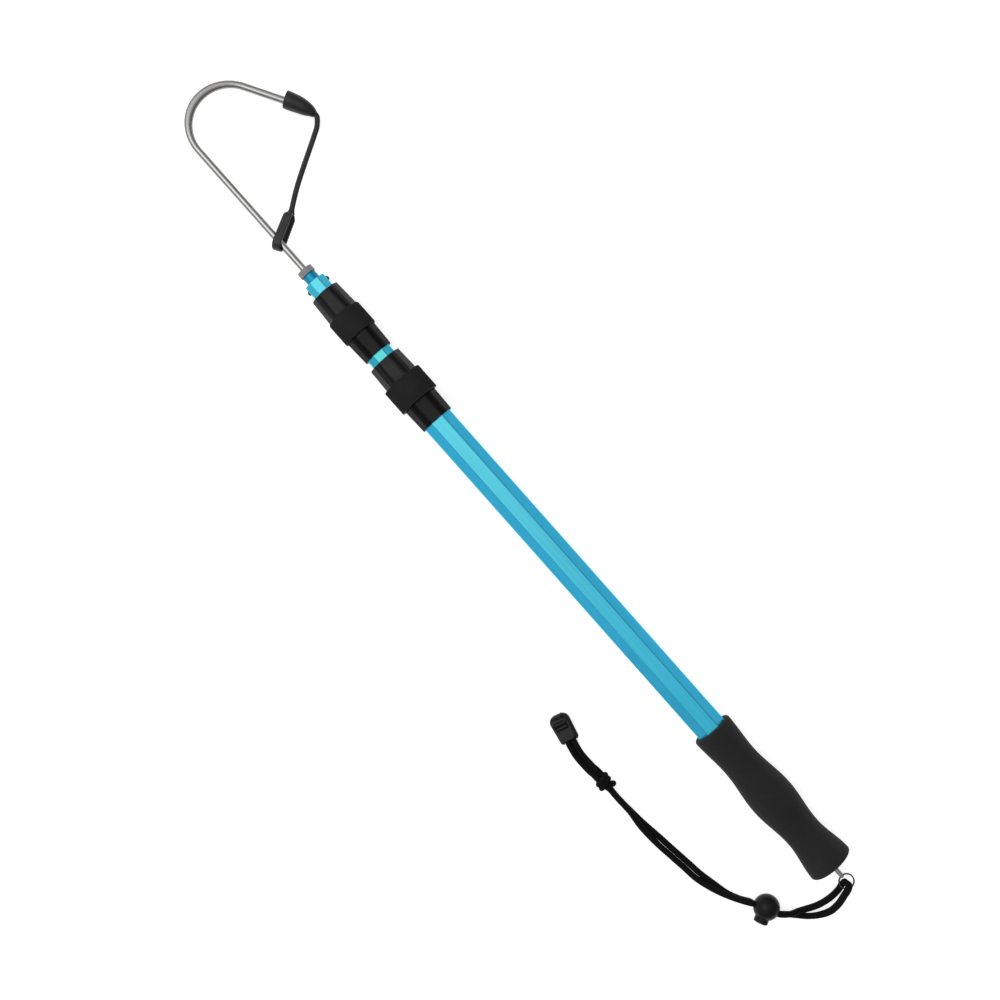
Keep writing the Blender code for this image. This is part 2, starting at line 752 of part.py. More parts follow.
def make_locks():
    make_lock(
        "lower",
        MAIN_ACROSS,
        MAIN_END,
        MIDDLE_ACROSS,
        LOWER_SOCKET,
        LOWER_BODY_LENGTH,
        LOWER_BODY_END_RADIUS,
        LOWER_BODY_RADIUS,
        LOWER_NECK_RADIUS,
        LOWER_NECK_LENGTH,
        LOWER_RING_RADIUS,
        LOWER_RING_LENGTH,
        LOWER_RING_CHAMFER,
        LOWER_NUT_RADIUS,
        LOWER_NUT_END_RADIUS,
        LOWER_NUT_LENGTH,
        LOWER_BODY_FLUTE_DEPTH,
        LOWER_NUT_FLUTE_DEPTH,
    )
    make_lock(
        "upper",
        MIDDLE_ACROSS,
        MIDDLE_END,
        TIP_ACROSS,
        UPPER_SOCKET,
        UPPER_BODY_LENGTH,
        UPPER_BODY_END_RADIUS,
        UPPER_BODY_RADIUS,
        UPPER_NECK_RADIUS,
        UPPER_NECK_LENGTH,
        UPPER_RING_RADIUS,
        UPPER_RING_LENGTH,
        UPPER_RING_CHAMFER,
        UPPER_NUT_RADIUS,
        UPPER_NUT_END_RADIUS,
        UPPER_NUT_LENGTH,
        UPPER_BODY_FLUTE_DEPTH,
        UPPER_NUT_FLUTE_DEPTH,
    )


def make_guides():
    for name, start, bearing_across, across, wall in (
        ("middle_guide", MIDDLE_GUIDE_START, inside(MAIN_ACROSS, MAIN_WALL), MIDDLE_ACROSS, MIDDLE_WALL),
        ("tip_guide", TIP_GUIDE_START, inside(MIDDLE_ACROSS, MIDDLE_WALL), TIP_ACROSS, TIP_WALL),
    ):
        flange_end = start + GUIDE_FLANGE
        bore = circle(GUIDE_BORE_RADIUS, 12)
        guide = as_mesh(prism(name, [octagon(bearing_across), bore], start, flange_end), NYLON)
        spigot_start = flange_end - GUIDE_FLANGE / 2
        spigot = [octagon(inside(across, wall)), bore]
        cutter = as_mesh(prism(name + "_spigot", spigot, spigot_start, flange_end + GUIDE_SPIGOT))
        boolean(guide, cutter, "UNION")


def rivet_hole():
    across_pole = (math.radians(90.0), 0.0, 0.0)
    place_of = (TIP_END - RIVET_FROM_END, 0.0, 0.0)
    radius = RIVET_RADIUS + GAP
    return cylinder("rivet_hole", radius, 2 * TIP_ACROSS, POLE, place_of, across_pole, segments=16)


def make_hook_seat():
    plug_radius = TIP_ACROSS / 2 - TIP_WALL - GAP
    seat_start = TIP_END - SEAT_DEPTH
    bore_radius = WIRE_RADIUS + GAP
    profile = [
        (SEAT_TOP, bore_radius),
        (SEAT_TOP, SEAT_NECK_RADIUS),
        (TIP_END, SEAT_NECK_RADIUS),
        (TIP_END, plug_radius),
        (seat_start, plug_radius),
        (seat_start, 0.0),
        (SHANK_START - GAP, 0.0),
        (SHANK_START - GAP, bore_radius),
    ]
    seat = turned("hook_seat", profile, POLE, finish=SEAT_BLUE, steps=24, closed=True)
    boolean(seat, RIVET_HOLE)

    head_start = TIP_ACROSS / 2 + GAP
    rivet_profile = []
    for side in (1, -1):
        dome = [(head_start, RIVET_RADIUS)]
        for i in range(4):
            angle = math.radians(90.0) * i / 3
            dome.append(
                (head_start + RIVET_HEAD_HEIGHT * math.sin(angle), RIVET_HEAD_RADIUS * math.cos(angle))
            )
        if side == 1:
            dome.reverse()
        rivet_profile += [(side * height, radius) for height, radius in dome]
    across_pole = (math.radians(90.0), 0.0, 0.0)
    turned("seat_rivet", rivet_profile, POLE, TIP_END - RIVET_FROM_END, STEEL, 16, across_pole)

    collar_start = SEAT_TOP + GAP
    collar_end = collar_start + COLLAR_LENGTH
    edge = 2 * GAP
    collar_profile = [
        (collar_end, bore_radius),
        (collar_end, COLLAR_RADIUS - edge),
        (collar_end - edge, COLLAR_RADIUS),
        (collar_start + edge, COLLAR_RADIUS),
        (collar_start, COLLAR_RADIUS - edge),
        (collar_start, bore_radius),
    ]
    turned("hook_collar", collar_profile, POLE, finish=GREY, steps=24, closed=True)


def hook_point(distance):
    """The place and heading of the hook's wire past the bend, at a distance from the bend's end."""
    bend_end = Vector((
        BEND_START + BEND_RADIUS * math.sin(BEND_ANGLE),
        -BEND_RADIUS * (1 - math.cos(BEND_ANGLE)),
        0.0,
    ))
    heading = Vector((math.cos(BEND_ANGLE), -math.sin(BEND_ANGLE), 0.0))
    return bend_end + heading * distance, heading


def cap_rows():
    """The cap's centres and radii, from its mouth to its strap end, where its shape changes."""
    mouth, heading = hook_point(POINT_LENGTH - CAP_COVER)
    towards_shank = Vector((heading.y, -heading.x, 0.0))
    rows = []
    for along, share, shift in CAP_SECTIONS:
        centre = mouth + heading * CAP_LENGTH * along + towards_shank * (CAP_RADIUS * shift - CAP_OFFSET)
        rows.append((*centre, share * CAP_RADIUS))
    return rows


def hook_lean():
    """How far the hook leans over, with the grip's butt and the guard's cap both on the floor."""
    return min(math.asin((GRIP_BUTT_RADIUS - radius) / -y) for x, y, z, radius in cap_rows())


def make_hook(plane):
    points = [(SHANK_START, 0.0, 0.0), ((SHANK_START + BEND_START) / 2, 0.0, 0.0)]
    factors = [1.0, 1.0]
    steps = 26
    for i in range(steps + 1):
        share = i / steps
        angle = BEND_ANGLE * share
        x = BEND_START + BEND_RADIUS * math.sin(angle)
        points.append((x, -BEND_RADIUS * (1 - math.cos(angle)), 0.0))
        factors.append(1.0 + POINT_SWELL * share + BEND_SWELL * math.sin(math.pi * share) ** 2)
    taper_steps = 5
    for i in range(taper_steps + 1):
        share = i / taper_steps
        distance = POINT_LENGTH - POINT_TAPER * (1 - share)
        points.append(tuple(hook_point(distance)[0]))
        thinned = (1.0 + POINT_SWELL - POINT_TIP_RADIUS / WIRE_RADIUS) * share**POINT_CURVE
        factors.append(1.0 + POINT_SWELL - thinned)
    hook = as_mesh(tube("hook", points, WIRE_RADIUS, plane, STAINLESS, 6, factors), STAINLESS)
    for vertex in hook.data.vertices:
        vertex.co.z = max(-WIRE_RADIUS, min(WIRE_RADIUS, vertex.co.z))
    smooth_mesh(hook.data)


def make_guard(plane):
    mouth, heading = hook_point(POINT_LENGTH - CAP_COVER)
    rows = smooth_route(cap_rows(), CAP_STEP)
    points = [row.xyz for row in rows]
    factors = [row.w / CAP_RADIUS for row in rows]
    cap = as_mesh(tube("guard_cap", points, CAP_RADIUS, plane, RUBBER, 8, factors), RUBBER)
    smooth_mesh(cap.data)
    bore_depth = CAP_COVER + CAP_BORE_ROOM
    bore_turn = (0.0, math.radians(90.0), math.atan2(heading.y, heading.x))
    bore_place = mouth + heading * (bore_depth / 2 - GAP)
    bore_radius = WIRE_RADIUS * (1.0 + POINT_SWELL) + GAP
    bore = cylinder("cap_bore", bore_radius, bore_depth + 2 * GAP, plane, bore_place, bore_turn)
    boolean(cap, bore)

    eyelet_top = make_eyelet(plane)
    towards_shank = Vector((heading.y, -heading.x, 0.0))
    cap_end = points[-1]
    leaving = (points[-1] - points[-2]).normalized()
    first = cap_end + leaving * GAP
    down = (eyelet_top - first).normalized()
    route = [
        first,
        first + leaving * STRAP_LEAVING,
        *(cap_end + heading * along + towards_shank * across for along, across in STRAP_TURN),
        eyelet_top - down * STRAP_STRAIGHT_END,
        eyelet_top - down * GAP,
    ]
    strap = tube("guard_strap", smooth_route(route, STRAP_STEP), STRAP_WIDTH / 2, plane, RUBBER, 3)
    strap.scale = (1.0, 1.0, STRAP_THICKNESS / STRAP_WIDTH)


def make_eyelet(plane):
    """The long loop round the shank. It returns the middle of its strap end."""
    big = EYELET_HOLE_HEIGHT / 2 + EYELET_WALL
    small = EYELET_STRAP_END_RADIUS
    centres = EYELET_LENGTH - big - small
    slope = math.acos((big - small) / centres)
    steps = 8

    def loop(inset):
        points = []
        for i in range(steps + 1):
            angle = slope + (2 * math.pi - 2 * slope) * i / steps
            x = (big - inset) * math.cos(angle)
            points.append((x, (big - inset) * math.sin(angle)))
        for i in range(steps + 1):
            angle = -slope + 2 * slope * i / steps
            x = centres + (small - inset) * math.cos(angle)
            points.append((x, (small - inset) * math.sin(angle)))
        return points

    eyelet = outline("guard_eyelet", [loop(0.0), loop(EYELET_WALL)], EYELET_WIDTH)
    place(eyelet, plane, finish=RUBBER)
    long_way = math.radians(-90.0) + EYELET_LEAN
    turn = Matrix.Rotation(long_way, 4, "Z") @ Matrix.Rotation(math.radians(90.0) + EYELET_ROLL, 4, "X")
    shift = Matrix.Translation((big - EYELET_BELOW_SHANK, 0.0, 0.0))
    matrix = Matrix.Translation((SHANK_START + EYELET_ALONG_SHANK, 0.0, 0.0)) @ turn @ shift
    eyelet.matrix_local = matrix
    return matrix @ Vector((centres + small, 0.0, 0.0))


def make_cord_lock():
    """The ball, its sprung plunger and the spring, on an empty whose X runs along the cords."""
    centre = (BALL_X, BALL_Y, FLOOR + BALL_RADIUS)
    lock = empty("cord_lock_axis", POLE, centre, (0.0, 0.0, BALL_TURN))
    slot_width = 2 * CORD_PINCHED_RADIUS + 2 * GAP
    slot_height = 4 * CORD_PINCHED_RADIUS + 3 * GAP
    bore_radius = PLUNGER_RADIUS + GAP
    shank_end = CORD_HOLE_OFFSET - slot_width / 2 - PLUNGER_END_WALL
    bore_end = shank_end - PLUNGER_TRAVEL - GAP
    spring_start = shank_end - GAP - SPRING_WIRE_RADIUS
    pocket_end = spring_start - SPRING_LENGTH - SPRING_WIRE_RADIUS - GAP

    profile = []
    steps = 11
    mouth = math.acos(bore_radius / BALL_RADIUS)
    for i in range(steps + 1):
        angle = mouth - (mouth + math.radians(90.0)) * i / steps
        profile.append((BALL_RADIUS * math.sin(angle), BALL_RADIUS * math.cos(angle)))
    profile[-1] = (-BALL_RADIUS, 0.0)
    pocket_radius = SPRING_RADIUS + SPRING_WIRE_RADIUS + GAP
    profile += [
        (pocket_end, 0.0),
        (pocket_end, pocket_radius),
        (bore_end, pocket_radius),
        (bore_end, bore_radius),
    ]
    barrel = turned("cord_lock_barrel", profile, lock, 0.0, GLOSS, 24, ALONG_PLUNGER, closed=True)
    through = slot_shape("cord_hole", slot_width, slot_height, 3 * BALL_RADIUS, lock)
    boolean(barrel, through)

    plunger_profile = [
        (PLUNGER_REACH, 0.0),
        (PLUNGER_REACH, PLUNGER_RADIUS - PLUNGER_EDGE),
        (PLUNGER_REACH - PLUNGER_EDGE, PLUNGER_RADIUS),
        (shank_end, PLUNGER_RADIUS),
        (shank_end, 0.0),
    ]
    plunger = turned("cord_lock_plunger", plunger_profile, lock, 0.0, GLOSS, 24, ALONG_PLUNGER)
    length = slot_width + PLUNGER_TRAVEL
    window = slot_shape("plunger_window", length, slot_height, 3 * BALL_RADIUS, lock)
    window.location.y = CORD_HOLE_OFFSET + PLUNGER_TRAVEL / 2
    boolean(plunger, window)

    points = []
    count = round(SPRING_TURNS * 8)
    for i in range(count + 1):
        angle = 2 * math.pi * SPRING_TURNS * i / count
        y = spring_start - SPRING_LENGTH * i / count
        points.append((SPRING_RADIUS * math.cos(angle), y, SPRING_RADIUS * math.sin(angle)))
    tube("cord_lock_spring", points, SPRING_WIRE_RADIUS, lock, STEEL, 1)


def slot_shape(name, width, height, length, parent):
    """A cutter with rounded corners, upright, that runs along its parent's X at the cords' place."""
    corner = CORD_PINCHED_RADIUS + GAP
    corner_steps = 4
    loop = []
    for quarter, (x_side, y_side) in enumerate(((1, 1), (-1, 1), (-1, -1), (1, -1))):
        for i in range(corner_steps + 1):
            angle = math.radians(90.0) * (quarter + i / corner_steps)
            x = x_side * (width / 2 - corner) + corner * math.cos(angle)
            y = y_side * (height / 2 - corner) + corner * math.sin(angle)
            if not loop or math.dist(loop[-1], (x, y)) > GAP / 10:
                loop.append((x, y))
    obj = outline(name, [loop], length)
    upright = (math.radians(90.0), 0.0, math.radians(90.0))
    place(obj, parent, (0.0, CORD_HOLE_OFFSET, 0.0), upright)
    return as_mesh(obj)


def turned_place(centre, turn, x, y):
    """A place given in a frame that is turned about Z, in the pole's frame."""
    return (
        centre[0] + x * math.cos(turn) - y * math.sin(turn),
        centre[1] + x * math.sin(turn) + y * math.cos(turn),
    )


def through_lock(side):
    """Route rows of one strand through the cord lock, side 1 for the upper strand."""
    height = FLOOR + BALL_RADIUS
    wide = side * CORD_PAIR_SPACING / 2
    narrow = side * (CORD_PINCHED_RADIUS + GAP / 2)
    pinch = CORD_PINCHED_RADIUS / CORD_RADIUS
    free = CORD_PINCH_START + CORD_PINCH_EASE
    rows = []
    for along, up, factor in (
        (-free, wide, 1.0),
        (-CORD_PINCH_START, narrow, pinch),
        (0.0, narrow, pinch),
        (CORD_PINCH_START, narrow, pinch),
        (free, wide, 1.0),
    ):
        x, y = turned_place((BALL_X, BALL_Y), BALL_TURN, along, CORD_HOLE_OFFSET)
        rows.append((x, y, height + up, factor))
    return rows


def pair_rows(route, side):
    """Route rows of one strand of a pair, from the pair's (x, y, lift, twist in degrees) points."""
    rows = []
    for i, (x, y, lift, twist) in enumerate(route):
        before, after = route[max(i - 1, 0)], route[min(i + 1, len(route) - 1)]
        heading = Vector((after[0] - before[0], after[1] - before[1])).normalized()
        twist = math.radians(twist)
        out = side * CORD_PAIR_SPACING / 2 * math.cos(twist)
        up = side * CORD_PAIR_SPACING / 2 * math.sin(twist)
        height = CORD_REST + CORD_PAIR_SPACING / 2 * abs(math.sin(twist)) + lift
        rows.append((x - heading.y * out, y + heading.x * out, height + up, 1.0))
    return rows


def cord(name, rows):
    rows = smooth_route(rows, CORD_STEP)
    points = [(row.x, row.y, max(row.z, CORD_REST)) for row in rows]
    tube(name, points, CORD_RADIUS, POLE, CORD, 2, [row.w for row in rows])
    length = sum(distance(Vector(a), Vector(b)) for a, b in zip(points, points[1:]))
    print(f"{name}: {len(points)} points, {length * 1000:.1f} mm")


# The lanyard's route, in the pole's frame: the bight through the ring, then each strand to the cord lock
BIGHT_UNDER = (
    (-0.0166, 0.0009, -0.00015),
    (-0.0166, 0.00095, -0.0010),
    (-0.01695, 0.0019, -0.0025),
    (-0.0176, 0.0035, -0.0034),
    (-0.0183, 0.0052, -0.0037),
    (-0.0192, 0.0071, -0.0043),
)
BIGHT_OVER = (
    (-0.0166, 0.0009, 0.00015),
    (-0.01665, 0.00092, 0.0010),
    (-0.0175, 0.00125, 0.0025),
    (-0.0192, 0.00185, 0.0034),
    (-0.0209, 0.0026, 0.0036),
    (-0.0228, 0.0042, 0.0034),
)
STRAND_A_TO_LOCK = (
    (-0.0221, 0.0143, -0.0075),
    (-0.0226, 0.0212, -0.0110),
    (-0.0214, 0.0293, -0.0138),
    (-0.0182, 0.0371, -0.0148),
    (-0.0144, 0.0426, -0.0114),
    (-0.0101, 0.0482, -0.0080),
)
STRAND_B_TO_LOCK = (
    (-0.0250, 0.0090, 0.0005),
    (-0.0276, 0.0158, -0.0050),
    (-0.0296, 0.0237, -0.0110),
    (-0.0281, 0.0308, -0.0145),
    (-0.0240, 0.0377, -0.0157),
    (-0.0175, 0.0442, -0.0157),
    (-0.0119, 0.0486, -0.0138),
)
# The pair of strands from the cord lock to the knot: x, y, lift off the floor and twist in degrees
PAIR_TO_KNOT = (
    (0.0225, 0.0689, 0.0034, 90),
    (0.0311, 0.0737, 0.0008, 80),
    (0.0412, 0.0773, 0.0, 50),
    (0.0546, 0.0809, 0.0, 12),
    (0.0670, 0.0824, 0.0, 0),
    (0.0808, 0.0841, 0.0, 0),
    (0.0957, 0.0857, 0.0, 12),
    (0.1127, 0.0869, 0.0, 55),
    (0.1257, 0.0867, 0.0, 85),
    (0.1336, 0.0870, 0.0, 90),
    (0.1418, 0.0871, 0.0008, 90),
)
PAIR_TO_CLIP = (
    (0.1690, 0.0877, 0.0012, 0),
    (0.1760, 0.0880, 0.0, 0),
    (0.1832, 0.0878, 0.0, 0),
)


def make_lanyard():
    knot_height = FLOOR + FLOOR_CLEAR + (KNOT_WRAP_RADIUS + KNOT_WRAP_THICKNESS) * KNOT_FLATNESS
    knot_lift = knot_height - CORD_REST
    reach = KNOT_HALF_LENGTH + GAP
    before_knot = (KNOT_X - reach, KNOT_Y, knot_lift - CORD_PAIR_SPACING / 2, 90)
    for name, bight, strand, side in (
        ("cord_strand_a", BIGHT_UNDER, STRAND_A_TO_LOCK, 1),
        ("cord_strand_b", BIGHT_OVER, STRAND_B_TO_LOCK, -1),
    ):
        rows = [(*row, 1.0) for row in (*bight, *strand)]
        rows += through_lock(side)
        rows += pair_rows((*PAIR_TO_KNOT, before_knot), side)
        cord(name, rows)

    after_knot = (KNOT_X + reach + CORD_RADIUS / 2, KNOT_Y, knot_lift, 0)
    channel_lift = CLIP_FLOOR + GAP
    for name, side in (("cord_tail_a", 1), ("cord_tail_b", -1)):
        rows = pair_rows((after_knot, *PAIR_TO_CLIP), side)
        for along in (-CLIP_FLOOR - CORD_RADIUS, 0.0, CLIP_TROUGH_LENGTH - GAP):
            x, y = turned_place(
                (CLIP_X, CLIP_Y),
                CLIP_TURN,
                along - CLIP_LENGTH / 2,
                side * CORD_PAIR_SPACING / 2,
            )
            rows.append((x, y, CORD_REST + channel_lift, 1.0))
        cord(name, rows)

    knot_place = (KNOT_X, KNOT_Y, knot_height)
    knot = cylinder(
        "cord_knot", KNOT_CORE_RADIUS, 2 * KNOT_HALF_LENGTH, POLE, knot_place, ALONG_POLE, CORD, 20
    )
    knot.scale = (KNOT_FLATNESS, 1.0, 1.0)
    for i, (along, lean, roll) in enumerate(KNOT_WRAPS):
        bpy.ops.mesh.primitive_torus_add(
            major_segments=20,
            minor_segments=8,
            major_radius=KNOT_WRAP_RADIUS,
            minor_radius=KNOT_WRAP_THICKNESS,
        )
        wrap = bpy.context.object
        wrap.name = f"knot_wrap_{i}"
        for collection in list(wrap.users_collection):
            collection.objects.unlink(wrap)
        place(wrap, POLE)
        wrap.matrix_local = (
            Matrix.Translation(knot_place)
            @ Matrix.Diagonal((1.0, 1.0, KNOT_FLATNESS, 1.0))
            @ Matrix.Translation((along, 0.0, 0.0))
            @ Matrix.Rotation(math.radians(roll), 4, "X")
            @ Matrix.Rotation(math.radians(90.0 + lean), 4, "Y")
        )
        boolean(knot, wrap, "UNION", "MANIFOLD")


def make_clip():
    """The end clip: a tray with a trough for the two tails, and a ribbed cover on a hinge pin."""
    clip = empty("clip_axis", POLE, (CLIP_X, CLIP_Y, FLOOR), (0.0, 0.0, CLIP_TURN))
    half = CLIP_LENGTH / 2
    base_loop = rounded_loop(
        (-half, half), (-CLIP_WIDTH / 2, CLIP_WIDTH / 2), CLIP_MOUTH_CORNER, CLIP_HINGE_CORNER
    )
    base = plate("clip_base", base_loop, 0.0, CLIP_BASE_HEIGHT, clip, GLOSS)
    bevel(base, CLIP_EDGE)
    trough_half = CORD_PAIR_SPACING / 2 + CORD_RADIUS + GAP
    trough = box(
        "clip_trough",
        (-2 * half, -trough_half, CLIP_FLOOR),
        (-half + CLIP_TROUGH_LENGTH, trough_half, 2 * CLIP_BASE_HEIGHT),
        clip,
    )
    boolean(base, trough)

    pin_x = half - CLIP_PIN_FROM_END
    cover_low = CLIP_BASE_HEIGHT + GAP
    pin_z = cover_low + COVER_THICKNESS / 2
    knuckle_half = KNUCKLE_WIDTH / 2
    ear_half = knuckle_half + GAP + CLIP_EAR_WIDTH
    for i, side in enumerate((1, -1)):
        near, far = side * (knuckle_half + GAP), side * ear_half
        ear = box(
            f"clip_ear_{i}",
            (pin_x - CLIP_EAR_REACH, min(near, far), CLIP_BASE_HEIGHT / 2),
            (pin_x + CLIP_EAR_REACH, max(near, far), pin_z + CLIP_EAR_REACH),
            clip,
        )
        boolean(base, ear, "UNION")
    relief_radius = KNUCKLE_RADIUS + GAP
    relief = box(
        "knuckle_relief",
        (pin_x - relief_radius - GAP, -knuckle_half - GAP, pin_z - relief_radius),
        (2 * half, knuckle_half + GAP, 2 * CLIP_BASE_HEIGHT),
        clip,
    )
    boolean(base, relief)
    across = (math.radians(90.0), 0.0, 0.0)
    pin_place = (pin_x, 0.0, pin_z)
    bore_radius = CLIP_PIN_RADIUS + GAP
    bore = cylinder("clip_pin_bore", bore_radius, 2 * CLIP_WIDTH, clip, pin_place, across, segments=16)
    boolean(base, bore)
    cylinder("clip_pin", CLIP_PIN_RADIUS, 2 * ear_half, clip, pin_place, across, STEEL, 16)

    hinge = empty("clip_hinge", clip, pin_place)
    cover_end = -CLIP_EAR_REACH - 3 * GAP
    side_low = COVER_SIDE_SHIFT - COVER_WIDTH / 2
    cover_loop = rounded_loop(
        (cover_end - COVER_LENGTH, cover_end),
        (side_low, side_low + COVER_WIDTH),
        COVER_MOUTH_CORNER,
        COVER_HINGE_CORNER,
    )
    cover = plate("clip_cover", cover_loop, -COVER_THICKNESS / 2, COVER_THICKNESS / 2, hinge, GLOSS)
    bevel(cover, COVER_EDGE)
    neck = box(
        "cover_neck",
        (cover_end - COVER_NECK, -knuckle_half, -COVER_THICKNESS / 4),
        (0.0, knuckle_half, COVER_THICKNESS / 4),
        hinge,
    )
    boolean(cover, neck, "UNION")
    knuckle = cylinder("cover_knuckle", KNUCKLE_RADIUS, KNUCKLE_WIDTH, hinge, (0.0, 0.0, 0.0), across)
    boolean(cover, knuckle, "UNION")
    for i in range(COVER_RIBS):
        x = cover_end - (i + 1) * RIB_PITCH
        rib = box(
            f"cover_rib_{i}",
            (x - RIB_WIDTH / 2, side_low + RIB_INSET, 0.0),
            (x + RIB_WIDTH / 2, side_low + COVER_WIDTH - RIB_INSET, COVER_THICKNESS / 2 + RIB_HEIGHT),
            hinge,
        )
        boolean(cover, rib, "UNION")
    boolean(cover, bore)


def stand_on_floor():
    """Moves the pole so that the world origin is under the middle of the gaff, without its lanyard."""
    bpy.context.view_layer.update()
    graph = bpy.context.evaluated_depsgraph_get()
    low = Vector((math.inf,) * 3)
    high = Vector((-math.inf,) * 3)
    for obj in PARTS.objects:
        if obj.type == "EMPTY" or obj.name.startswith(("cord_", "clip_")):
            continue
        evaluated = obj.evaluated_get(graph)
        mesh = evaluated.to_mesh()
        for vertex in mesh.vertices:
            point = evaluated.matrix_world @ vertex.co
            low = Vector(map(min, low, point))
            high = Vector(map(max, high, point))
        evaluated.to_mesh_clear()
    POLE.location = (-(low.x + high.x) / 2, -(low.y + high.y) / 2, -low.z)
    bpy.context.view_layer.update()


for existing in list(bpy.data.objects):
    bpy.data.objects.remove(existing)

PARTS = bpy.data.collections.new("telescopic_gaff")
CUTTERS = bpy.data.collections.new("cutters")
for new_collection in (PARTS, CUTTERS):
    bpy.context.scene.collection.children.link(new_collection)

ALUMINIUM = material("blue_anodised_aluminium", (0.03, 0.28, 0.55), 0.32, 0.9)
SEAT_BLUE = material("darker_blue_aluminium", (0.02, 0.24, 0.42), 0.4, 0.8)
STAINLESS = material("stainless_steel", (0.62, 0.62, 0.63), 0.22, 1.0)
STEEL = material("plated_steel", (0.55, 0.55, 0.56), 0.30, 1.0)
FOAM = material("black_foam", (0.018, 0.018, 0.019), 0.85)
PLASTIC = material("black_plastic", (0.016, 0.016, 0.018), 0.48)
GLOSS = material("gloss_black_plastic", (0.012, 0.012, 0.013), 0.25)
NYLON = material("white_nylon", (0.62, 0.62, 0.60), 0.5)
RUBBER = material("black_rubber", (0.015, 0.015, 0.016), 0.6)
GREY = material("grey_plastic", (0.30, 0.31, 0.32), 0.6)
CORD = material("black_cord", (0.02, 0.02, 0.021), 0.9)

POLE = empty("pole_axis")
RIVET_HOLE = rivet_hole()
HOOK_PLANE = empty("hook_plane", POLE, rotation=(hook_lean(), 0.0, 0.0))

make_grip()
make_tubes()
make_butt()
make_ring()
make_locks()
make_guides()
make_hook_seat()
make_hook(HOOK_PLANE)
make_guard(HOOK_PLANE)
make_cord_lock()
make_lanyard()
make_clip()
stand_on_floor()
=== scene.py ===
from math import acos, asin, atan, cos, exp, pi, radians, sin, sqrt, tan

import bmesh
import bpy
import numpy as np
from mathutils import Matrix, Vector


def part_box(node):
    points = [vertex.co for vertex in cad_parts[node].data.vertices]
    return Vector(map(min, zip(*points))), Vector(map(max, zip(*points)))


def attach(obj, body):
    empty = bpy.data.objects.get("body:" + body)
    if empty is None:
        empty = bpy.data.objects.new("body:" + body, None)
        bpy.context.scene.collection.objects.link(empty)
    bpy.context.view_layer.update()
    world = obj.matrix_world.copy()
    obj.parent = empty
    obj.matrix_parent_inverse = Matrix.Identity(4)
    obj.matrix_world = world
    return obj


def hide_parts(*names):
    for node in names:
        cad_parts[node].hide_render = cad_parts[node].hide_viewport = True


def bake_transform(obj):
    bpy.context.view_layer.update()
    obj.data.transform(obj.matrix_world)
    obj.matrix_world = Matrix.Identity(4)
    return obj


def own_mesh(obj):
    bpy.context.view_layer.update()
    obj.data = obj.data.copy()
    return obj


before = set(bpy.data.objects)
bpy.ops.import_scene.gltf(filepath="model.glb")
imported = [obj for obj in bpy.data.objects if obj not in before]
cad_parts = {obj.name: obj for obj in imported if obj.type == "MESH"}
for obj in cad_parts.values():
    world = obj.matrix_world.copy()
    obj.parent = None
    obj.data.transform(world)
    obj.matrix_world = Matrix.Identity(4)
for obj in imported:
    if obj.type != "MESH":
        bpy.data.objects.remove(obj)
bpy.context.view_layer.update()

GRIP_LOW, GRIP_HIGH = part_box("grip")
# The pole's frame: X is the station along the pole from the end face of the butt
POLE = Matrix.Translation((GRIP_LOW.x, (GRIP_LOW.y + GRIP_HIGH.y) / 2, (GRIP_LOW.z + GRIP_HIGH.z) / 2))

EIGHTH, QUARTER = radians(45.0), radians(90.0)
UP = np.array((0.0, 0.0, 1.0))
BEVEL_ANGLE, SHARP_ANGLE = radians(30.0), radians(35.0)

# Sizes and stations of the CAD model
GAP = 0.0003
CORNER_RADIUS = 0.0014
MAIN_ACROSS, MAIN_WALL, MAIN_START, MAIN_END = 0.0236, 0.0012, 0.0030, 0.4602
MIDDLE_ACROSS, MIDDLE_WALL, MIDDLE_START, MIDDLE_END = 0.0202, 0.0011, 0.0351, 0.5255
TIP_ACROSS, TIP_WALL, TIP_START, TIP_END = 0.0170, 0.0011, 0.0514, 0.5787
TUBE_INNER_CORNER, TUBE_EDGE = 0.0004, 0.00018
GRIP_LENGTH, GRIP_EDGE = 0.1348, 0.0020
GRIP_STATIONS = (0.0, 0.0320, 0.0670, 0.1030, GRIP_LENGTH)
GRIP_RADII = (0.0180, 0.01425, 0.0174, 0.01425, 0.0160)
FLOOR = -0.0180
PIN_RADIUS, PIN_REACH, PIN_END = 0.00188, 0.0130, 0.0300
RING_RADIUS, RING_WIRE, RING_WIRE_HEIGHT = 0.0056, 0.0011, 0.00055
RING_HOLE_RADIUS, RING_HOLE_STATION = 0.0013, -0.0114
RING_PITCH, RING_TURNS, RING_START = 0.00070, 1.9, radians(115.0)
FLUTES, FLUTE_RADIUS, FLUTE_RING_DEPTH, LAND_FLATNESS = 6, 0.0030, 0.0009, 0.968
KNURL_PITCH, KNURL_DEPTH = 0.00125, 0.00032
COLLET_LENGTH, THREAD_DEPTH, THREAD_PITCH = 0.0130, 0.0007, 0.0015
SEAT_DEPTH, SEAT_NECK_RADIUS, SEAT_TOP = 0.0187, 0.0054, 0.5854
RIVET_RADIUS, RIVET_HEAD_RADIUS, RIVET_HEAD_HEIGHT, RIVET_FROM_END = 0.0013, 0.0019, 0.0011, 0.0043
COLLAR_RADIUS, COLLAR_LENGTH = 0.00625, 0.0048
WIRE_RADIUS, SHANK_START, SHANK_LENGTH = 0.0025, 0.5770, 0.1317
BEND_START = SHANK_START + SHANK_LENGTH
BEND_RADIUS, BEND_ANGLE, BEND_SWELL, POINT_SWELL = 0.0311, radians(149.3), 0.32, 0.12
POINT_LENGTH, POINT_TAPER, POINT_TIP_RADIUS, POINT_CURVE = 0.0496, 0.0180, 0.0002, 1.4
CAP_COVER, CAP_LENGTH, CAP_RADIUS, CAP_OFFSET = 0.0180, 0.0241, 0.0070, 0.0012
